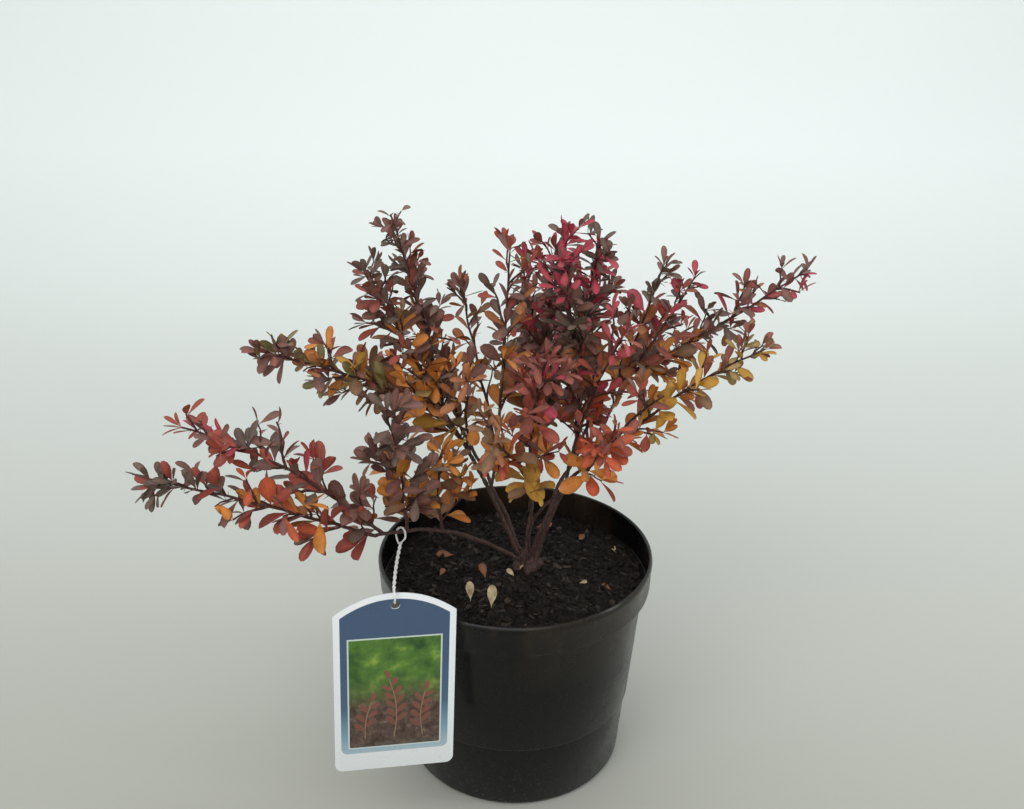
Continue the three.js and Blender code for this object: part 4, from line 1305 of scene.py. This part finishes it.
class PLANT_OT_stems(bpy.types.Operator):
    """Model the stems and boughs, each a tapering limb with knots and bark relief"""
    bl_idname = "barberry.stems"
    bl_label = "Stems and boughs"

    def execute(self, context):
        s = context.scene.barberry_wood
        shoots = grown_plant(context.scene.barberry_leaf).shoots
        wood = bark("stem_bark", tuple(s.bark))
        lumps = bpy.data.textures.new("bark_lumps", "CLOUDS")
        lumps.noise_scale = 0.0022
        lumps.noise_depth = 2
        for name, row in LIMBS.items():
            limb = self.limb(name, shoots[name], row)
            self.relief(limb, lumps, s.relief)
            finish_piece(settle(limb, smooth=70), [wood], "stem_bark", name)
        collar = self.collar()
        self.relief(collar, lumps, s.relief * COLLAR_RELIEF)
        finish_piece(settle(collar, smooth=70), [wood], "stem_bark", "root_crown")
        return {"FINISHED"}

    def limb(self, name, shoot, row):
        """A path with a round section, made a mesh."""
        count = max(12, int(shoot.length / LIMB_STEP))
        shares = np.linspace(0, 1, count + 1)
        knots = np.abs(np.sin(np.pi * shares * shoot.length / KNOT_SPACING)) ** KNOT_SHARPNESS
        flare = FLARE * np.exp(-shares * shoot.length / FLARE_LENGTH)
        slim = FULL_FOOT if name == "stem_right" else SLIM_FOOT
        radii = ((row.foot_radius + (row.tip_radius - row.foot_radius) * shares)
                 * (PLAIN_SECTION + KNOT * knots + flare)
                 * (slim + (SLIM_TIP - slim) * shares))
        limb = piped(metres(shoot.at(shares)), radii, 0.001, 4)
        limb.name = "bark_" + name
        face_out(limb)
        return limb

    def relief(self, piece, lumps, depth):
        modified(piece, "SUBSURF", levels=1, render_levels=1, subdivision_type="SIMPLE")
        modified(piece, "DISPLACE", texture=lumps, texture_coords="LOCAL", mid_level=0.55,
                 strength=depth * 2)

    def collar(self):
        """The knotty stool that all the stems rise from."""
        x, y, z = PLANT_FOOT / 1000
        bpy.ops.mesh.primitive_uv_sphere_add(
            segments=40, ring_count=22, radius=COLLAR_RADIUS, location=(x, y, z + COLLAR_RISE))
        collar = bpy.context.object
        collar.name = "root_collar"
        edit_all(collar)
        bpy.ops.transform.resize(value=(1, 1, COLLAR_STRETCH), center_override=(x, y, z))
        bpy.ops.mesh.bisect(plane_co=(x, y, z - COLLAR_CUT), plane_no=(0, 0, 1), use_fill=True,
                            clear_inner=True)
        object_mode()
        for vertex in collar.data.vertices:
            angle = math.atan2(vertex.co.y, vertex.co.x)
            lobes = sum(size * math.cos(number * angle + phase)
                        for size, number, phase in COLLAR_LOBES)
            high = max(0.0, vertex.co.z / COLLAR_TOP)
            factor = (1 + lobes) * (COLLAR_GIRTH - COLLAR_NARROWING * high)
            vertex.co.x *= factor
            vertex.co.y *= factor
        return collar


class PLANT_OT_shoots(bpy.types.Operator):
    """Grow the leafy shoots, their side twigs and the spines at their nodes"""
    bl_idname = "barberry.shoots"
    bl_label = "Shoots, twigs and spines"

    def execute(self, context):
        s = context.scene.barberry_wood
        plant = grown_plant(context.scene.barberry_leaf)
        young = bark("young_bark", tuple(s.shoot), 0.55)
        axes = [self.rod(plant.shoots[name], *SHOOT_RADII, 8, SHOOT_STEP) for name in MASSES]
        twigs = [self.rod(twig, foot, tip, 6, TWIG_STEP) for twig, foot, tip in plant.twigs]
        thorns = []
        for root, direction, share in plant.spines:
            reach = s.spine * 1000 * share
            points = [root, root + direction * reach * 0.5, root + direction * reach]
            thorns.append(tube(points, THORN_RADII, 4))
        made_piece("leafy_shoots", self.placed(axes), 60, [young], "stem_bark", *MASSES)
        made_piece("side_twigs", self.placed(twigs), 60, [young], "stem_bark")
        made_piece("spines", self.placed(thorns), 70,
                   [bark("spine_bark", (0.2, 0.09, 0.05), 0.5)], "stem_bark")
        return {"FINISHED"}

    def rod(self, shoot, foot_radius, tip_radius, sides, step):
        """A shoot with slight knots."""
        count = max(3, int(shoot.length / step))
        shares = np.linspace(0, 1, count + 1)
        knots = np.where(np.arange(count + 1) % 2 == 1, SWELLING, WAIST)
        radii = (foot_radius + (tip_radius - foot_radius) * shares) * knots
        return tube(shoot.at(shares), radii, sides)

    def placed(self, parts):
        vertices, faces = gathered(parts)
        return metres(vertices), faces


class PLANT_OT_leaves(bpy.types.Operator):
    """Set the leaves in rosettes along every shoot, dealt out in autumn tints by spray"""
    bl_idname = "barberry.leaves"
    bl_label = "Leaves"

    def execute(self, context):
        sizes = context.scene.barberry_leaf
        plant = grown_plant(sizes)
        for tint, (code, slot) in TINTS.items():
            leaves = [leaf for leaf in plant.leaves if leaf.tint == tint]
            if not leaves:
                raise RuntimeError("no spray was dealt the tint " + tint)
            colour = linear(code)
            sides = [leaf_upper(tint + "_upper", colour), leaf_under(tint + "_under", colour)]
            made_piece("leaves_" + tint, leaf_arrays(leaves, sizes), 60, sides, slot)
        return {"FINISHED"}


# Printed layers of the label: how much narrower than the card, how far from its foot and from its
# shoulder, how much flatter its arch (None where straight), corners, and its face over the card
LAYERS = {
    "label_field": (0.008, 0.013, 0.0015, 0.0024, 0.004, 0.00005),
    "label_line": (0.0165, 0.0165, 0.0165, None, 0.0015, 0.0001),
    "label_panel": (0.0185, 0.0175, 0.0175, None, 0.001, 0.00014),
}
CARD_EDGE = 0.0001
ARCH_POWER = 2.1

# The label is drawn flat and facing up, then stood up where it hangs
SHOULDER = (-0.071, -0.099, 0.172)
LABEL_TURN = math.radians(12)
LABEL_LEAN = math.radians(88)
LABEL_TILT = math.radians(-2.5)


def hanging_place():
    upright = Matrix.Rotation(LABEL_LEAN, 4, "X")
    tilted = Matrix.Rotation(LABEL_TILT, 4, "Z")
    turned = Matrix.Rotation(LABEL_TURN, 4, "Z")
    return Matrix.Translation(SHOULDER) @ turned @ upright @ tilted


# The printed sprigs: where each stands, how far it leans and rises, its bow and its leaves
Sprig = namedtuple("Sprig", "stand lean rise bow leaves")
SPRIGS = (Sprig(-0.0185, 0.004, 0.027, -0.0015, 6), Sprig(-0.0005, -0.003, 0.043, 0.003, 10),
          Sprig(0.0175, 0.0015, 0.033, -0.002, 8))
SPRIG_FOOT = -0.09
STALK_POINTS = 24
STALK_RADIUS = 0.00035
SPRIG_ANGLE = math.radians(46)
FIRST_SPRIG_LEAF, SPRIG_LEAF_RUN = 0.2, 0.76
SPRIG_LEAF, SPRIG_LEAF_SHRINK, SPRIG_TIP_LEAF = 0.0095, 0.0025, 0.007
LEAF_INK, STALK_INK = 0.00003, 0.00004


def sprig_line(sprig, t):
    """A point on the stalk of a printed sprig."""
    return np.array([sprig.stand + sprig.lean * t + sprig.bow * math.sin(math.pi * t),
                     sprig.rise * t + SPRIG_FOOT])


def card(name, width, low, high, arch, corner, bottom, top):
    """A card with an arched top and round lower corners, between two heights of its thickness."""
    middle = (low + high) / 2
    bpy.ops.mesh.primitive_plane_add(size=1, location=(0, middle, bottom))
    piece = bpy.context.object
    piece.name = name
    edit_all(piece)
    bpy.ops.transform.resize(value=(width, high - low, 1), center_override=(0, middle, bottom))
    object_mode()
    bpy.ops.object.transform_apply(location=True, rotation=True, scale=True)
    bpy.context.tool_settings.mesh_select_mode = (True, False, False)
    choose(piece, lambda place: place.y < middle)
    bpy.ops.mesh.bevel(offset=corner, segments=8, affect="VERTICES")
    object_mode()
    choose(piece, lambda place: place.y > high - 1e-6)
    bpy.ops.mesh.subdivide(number_cuts=31)
    object_mode()
    half = width / 2
    for vertex in piece.data.vertices:
        if vertex.co.y > high - 1e-6:
            share = min(1.0, abs(vertex.co.x) / half)
            vertex.co.y = high + arch * (1 - share ** ARCH_POWER)
    edit_all(piece)
    extrude_up(top - bottom)
    object_mode()
    face_out(piece)
    return piece


class PLANT_OT_label(bpy.types.Operator):
    """Print and hang the label: a white card, a blue field and a panel with three sprigs"""
    bl_idname = "barberry.label"
    bl_label = "Label"

    def execute(self, context):
        s = context.scene.barberry_label
        half = s.thickness / 2
        blank = card("label_card", s.width, -s.height, 0.0, s.arch, s.corner, -half, half)
        modified(blank, "BEVEL", width=CARD_EDGE, segments=2, limit_method="ANGLE")
        field, line, panel = self.layers(s, half)
        for piece in (blank, field):
            drill(piece, (0, s.arch - s.hole_drop, 0), s.hole, 0.01, 32)
        leaves, stalk = self.sprigs(half + LAYERS["label_panel"][-1])
        white, between = tuple(s.border), ((0.27, (0.19, 0.33, 0.43)), (0.56, (0.07, 0.13, 0.22)))
        finishes = (
            (blank, printed_card("card_white", white, shade(white, 0.94), 0.05, 0.18), ["label"]),
            (field, printed_card("print_blue", tuple(s.field), (0.42, 0.52, 0.58), 0.068, 0.135,
                                 between), []),
            (line, printed_card("print_pale", (0.6, 0.7, 0.62), (0.55, 0.62, 0.64), 0.06, 0.15),
             []),
            (panel, printed_ground(), []),
            (leaves, printed_card("print_leaf", (0.25, 0.085, 0.058), (0.15, 0.066, 0.045), 0.08,
                                  0.135), []),
            (stalk, printed_card("print_stalk", (0.3, 0.17, 0.1), (0.26, 0.16, 0.1), 0.08, 0.135),
             []),
        )
        for piece, material, nodes in finishes:
            settle(piece, hanging_place())
            finish_piece(piece, [material], "label_card", *nodes)
        return {"FINISHED"}

    def layers(self, s, face):
        """The printed layers, each lying on the one before it."""
        pieces, bottom = [], face
        for name, (narrower, foot, shoulder, flatter, corner, rise) in LAYERS.items():
            arch = s.arch - flatter if flatter else 0
            pieces.append(card(name, s.width - narrower, -s.height + foot, -shoulder, arch, corner,
                               bottom, face + rise))
            bottom = face + rise
        return pieces

    def sprigs(self, height):
        """Plain sprigs with rounded leaves on each side in turn, printed flat on the panel."""
        leaves, stalks = [], []
        for sprig in SPRIGS:
            for k in range(sprig.leaves):
                t = FIRST_SPRIG_LEAF + SPRIG_LEAF_RUN * k / sprig.leaves
                ahead = unit(sprig_line(sprig, t + 0.01) - sprig_line(sprig, t - 0.01))
                angle = (-1) ** k * SPRIG_ANGLE
                turned = np.array([ahead[0] * math.cos(angle) - ahead[1] * math.sin(angle),
                                   ahead[0] * math.sin(angle) + ahead[1] * math.cos(angle)])
                blade = SPRIG_LEAF - SPRIG_LEAF_SHRINK * t
                leaves.append(self.flat_leaf(sprig_line(sprig, t), turned, blade, height))
            tip = sprig_line(sprig, 1.0)
            ahead = unit(tip - sprig_line(sprig, 0.98))
            leaves.append(self.flat_leaf(tip, ahead, SPRIG_TIP_LEAF, height))
            points = [np.array([*sprig_line(sprig, t), height])
                      for t in np.linspace(0, 1, STALK_POINTS)]
            stalks.append(tube(points, np.full(STALK_POINTS, STALK_RADIUS), 4))
        ribbon = mesh_piece("label_stalk", *gathered(stalks))
        for vertex in ribbon.data.vertices:
            vertex.co.z = height + (STALK_INK if vertex.co.z > height else 0.0)
        return joined(leaves, "label_sprig"), ribbon

    def flat_leaf(self, root, ahead, blade, height):
        """A round plate stretched and narrowed to a leaf."""
        bpy.ops.mesh.primitive_circle_add(vertices=24, radius=1, fill_type="NGON")
        leaf = bpy.context.object
        for vertex in leaf.data.vertices:
            along = (vertex.co.x + 1) / 2
            across = vertex.co.y * (0.55 + 0.45 * along)
            vertex.co = (along * blade, across * blade * 0.27, 0)
        edit_all(leaf)
        extrude_up(LEAF_INK)
        object_mode()
        face_out(leaf)
        angle = math.atan2(ahead[1], ahead[0])
        place = Matrix.Translation((*root, height)) @ Matrix.Rotation(angle, 4, "Z")
        return settle(leaf, place, smooth=None)


# The tie: radius of its loops and of the wire, the gaps that it keeps, the wire's share in a loop
# and in the strand, how narrow a loop is pulled, the bark's radius as a share of the solid's, and
# the strand's points, turns and sag
LOOP, WIRE, WIRE_GAP, BARK_GAP = 0.005, 0.0008, 0.0003, 0.0004
LOOP_WIRE, STRAND_WIRE = 0.85, 0.72
LOOP_NARROWING, LOOP_PULL = 0.86, 0.62
BARK_SHARE = 0.76
STRAND_POINTS = 72
STRAND_TURNS = 4.5
STRAND_SAG = 0.0006


class PLANT_OT_tie(bpy.types.Operator):
    """Twist the tie: a loop round the stem, a loop through the card and two wires between"""
    bl_idname = "barberry.tie"
    bl_label = "Tie"

    def execute(self, context):
        s = context.scene.barberry_label
        shoots = grown_plant(context.scene.barberry_leaf).shoots
        stem, limb = shoots["stem_low_left"], LIMBS["stem_low_left"]
        radius = limb.foot_radius * (1 - TIE_AT) + limb.tip_radius * TIE_AT
        drop = LOOP - WIRE - radius * BARK_SHARE / 1000 - BARK_GAP
        top = Vector(metres(stem.at(TIE_AT))) - Vector((0, 0, drop))
        x, y, z = SHOULDER
        hole = Vector((x, y, z + s.arch - s.hole_drop))
        low = hole + Vector((0, 0, LOOP + s.hole - WIRE - WIRE_GAP))
        across = Vector((math.cos(LABEL_TURN), math.sin(LABEL_TURN), 0))
        parts = [self.loop(top, Vector(stem.tangent(TIE_AT)), WIRE * LOOP_WIRE, -1),
                 self.loop(low, across, WIRE * LOOP_WIRE, 1)]
        foot, head = low + Vector((0, 0, LOOP)), top - Vector((0, 0, LOOP))
        parts += [self.strand(foot, head, phase, WIRE * STRAND_WIRE) for phase in (0.0, math.pi)]
        tie = joined(parts, "label_tie_wire")
        settle(tie, smooth=60)
        finish_piece(tie, [tie_plastic()], "tie_plastic", "label_tie")
        return {"FINISHED"}

    def loop(self, centre, facing, wire, towards):
        """A ring drawn to a point at its top (1) or its foot (-1), as a pulled loop is."""
        bpy.ops.mesh.primitive_torus_add(
            major_segments=40, minor_segments=10, major_radius=LOOP, minor_radius=wire)
        ring = bpy.context.object
        edit_all(ring)
        bpy.ops.transform.resize(value=(LOOP_NARROWING, 1, 1), center_override=(0, 0, 0))
        object_mode()
        for vertex in ring.data.vertices:
            pull = max(0.0, towards * vertex.co.y / LOOP)
            vertex.co.x *= 1 - LOOP_PULL * pull ** 1.4
        upright = facing.normalized()
        side = upright.cross(Vector((0, 0, 1))).normalized()
        lengthways = side.cross(upright)
        turn = Matrix((side, lengthways, upright)).transposed().to_4x4()
        return settle(ring, Matrix.Translation(centre) @ turn, smooth=None)

    def strand(self, foot, head, phase, wire):
        """One of two wires twisted about each other, sagging a little."""
        run = head - foot
        side = run.cross(Vector((0, 1, 0))).normalized()
        other = run.cross(side).normalized()
        places = []
        for k in range(STRAND_POINTS):
            t = k / (STRAND_POINTS - 1)
            turn = phase + 2 * math.pi * STRAND_TURNS * t
            sag = STRAND_SAG * math.sin(math.pi * t)
            swing = (side * math.cos(turn) + other * math.sin(turn)) * wire * 0.95
            places.append(foot + run * t + swing + side * sag)
        return piped(places, [1.0] * STRAND_POINTS, wire, 2)


# How far back the floor turns up into the backdrop, how high that rises and the turn's radius
BACKDROP_PLACE = 1.6
BACKDROP_HEIGHT = 3.0
BACKDROP_CURVE = 0.8

# Lights: place, size, power, colour, and the height of one that isn't round
LIGHTS = {
    "window": ((-0.9, -1.5, 1.7), 1.4, 14, (1.0, 0.985, 0.96)),
    "side_panel": ((1.35, -0.25, 0.75), 0.3, 4.5, (0.94, 0.97, 1.0), 1.6),
    "front_sheet": ((0.25, -2.3, 1.25), 1.8, 13, (1.0, 1.0, 0.98)),
    "ceiling": ((0.1, 0.5, 2.0), 1.6, 9.5, (1, 1, 1)),
}
LIGHTS_AIM = Vector((0, 0, 0.2))

# The photograph's viewpoint, found from the known sizes in it
CAMERA_PLACE = Vector((0.00993, -0.66521, 0.56134))
CAMERA_AIM = Vector((-0.01754, 0.91427, -0.40473))
CAMERA_ROLL = math.radians(0.268)


class PLANT_OT_stage(bpy.types.Operator):
    """Set the floor, the backdrop, the soft lights and the camera"""
    bl_idname = "barberry.stage"
    bl_label = "Stage"

    def execute(self, context):
        s = context.scene.barberry_stage
        self.floor(s)
        for name, row in LIGHTS.items():
            self.light(name, *row)
        world = bpy.data.worlds.new("daylight")
        context.scene.world = world
        world.use_nodes = True
        sky = world.node_tree.nodes["Background"].inputs
        sky["Color"].default_value = (0.95, 1.0, 1.0, 1)
        sky["Strength"].default_value = 0.6
        context.scene.view_settings.view_transform = "Standard"
        context.scene.camera = self.camera(s)
        return {"FINISHED"}

    def floor(self, s):
        """A sheet of paper that turns up into a backdrop."""
        bpy.ops.mesh.primitive_plane_add(size=2 * s.floor, location=(0, 0, 0))
        floor = bpy.context.object
        floor.name = "floor"
        for vertex in floor.data.vertices:
            vertex.co.y = min(vertex.co.y, BACKDROP_PLACE)
        bpy.context.tool_settings.mesh_select_mode = (False, True, False)
        choose(floor, lambda place: place.y > 0)
        extrude_up(BACKDROP_HEIGHT)
        object_mode()
        modified(floor, "BEVEL", width=BACKDROP_CURVE, segments=24)
        settle(floor, smooth=40)
        floor.data.materials.append(pale_paper(tuple(s.near), tuple(s.far)))

    def light(self, name, place, size, power, colour, height=None):
        """A soft round light, or a tall one where its height is given."""
        bpy.ops.object.light_add(type="AREA", location=place)
        lamp = bpy.context.object
        lamp.name = name
        lamp.data.shape = "ELLIPSE"
        lamp.data.size = size
        lamp.data.size_y = height or size
        lamp.data.energy = power
        lamp.data.color = colour
        aim = LIGHTS_AIM - Vector(place)
        lamp.rotation_euler = aim.to_track_quat("-Z", "Y").to_euler()

    def camera(self, s):
        bpy.ops.object.camera_add(location=CAMERA_PLACE)
        camera = bpy.context.object
        camera.data.lens = s.lens
        camera.data.sensor_width = 36
        camera.data.clip_end = 50
        turn = CAMERA_AIM.to_track_quat("-Z", "Y").to_matrix()
        camera.rotation_euler = (turn @ Matrix.Rotation(CAMERA_ROLL, 3, "Z")).to_euler()
        return camera


class PLANT_PT_panel(bpy.types.Panel):
    """The pieces of the plant and their sizes"""
    bl_label = "Potted barberry"
    bl_idname = "PLANT_PT_panel"
    bl_space_type = "VIEW_3D"
    bl_region_type = "UI"
    bl_category = "Barberry"

    def draw(self, context):
        layout = self.layout
        for name, (_, *operators) in GROUPS.items():
            box = layout.box()
            settings = getattr(context.scene, name)
            for key in settings.bl_rna.properties.keys():
                if key not in ("rna_type", "name"):
                    box.prop(settings, key)
            for operator in operators:
                box.operator(operator.bl_idname)


# The sizes, with the operators that use them
GROUPS = {
    "barberry_pot": (PotSizes, PLANT_OT_pot),
    "barberry_soil": (SoilSizes, PLANT_OT_soil, PLANT_OT_litter),
    "barberry_wood": (WoodSizes, PLANT_OT_stems, PLANT_OT_shoots),
    "barberry_leaf": (LeafSizes, PLANT_OT_leaves),
    "barberry_label": (LabelSizes, PLANT_OT_label, PLANT_OT_tie),
    "barberry_stage": (StageSizes, PLANT_OT_stage),
}
CLASSES = [kind for group in GROUPS.values() for kind in group] + [PLANT_PT_panel]


def register():
    for kind in CLASSES:
        bpy.utils.register_class(kind)
    for name, (group, *_) in GROUPS.items():
        setattr(bpy.types.Scene, name, PointerProperty(type=group))


def unregister():
    for name in GROUPS:
        delattr(bpy.types.Scene, name)
    for kind in reversed(CLASSES):
        bpy.utils.unregister_class(kind)


def main():
    register()
    deselect()
    bpy.ops.barberry.pot()
    bpy.ops.barberry.soil()
    bpy.ops.barberry.litter()
    bpy.ops.barberry.stems()
    bpy.ops.barberry.shoots()
    bpy.ops.barberry.leaves()
    bpy.ops.barberry.label()
    bpy.ops.barberry.tie()
    bpy.ops.barberry.stage()
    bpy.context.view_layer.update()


if __name__ == "__main__":
    main()
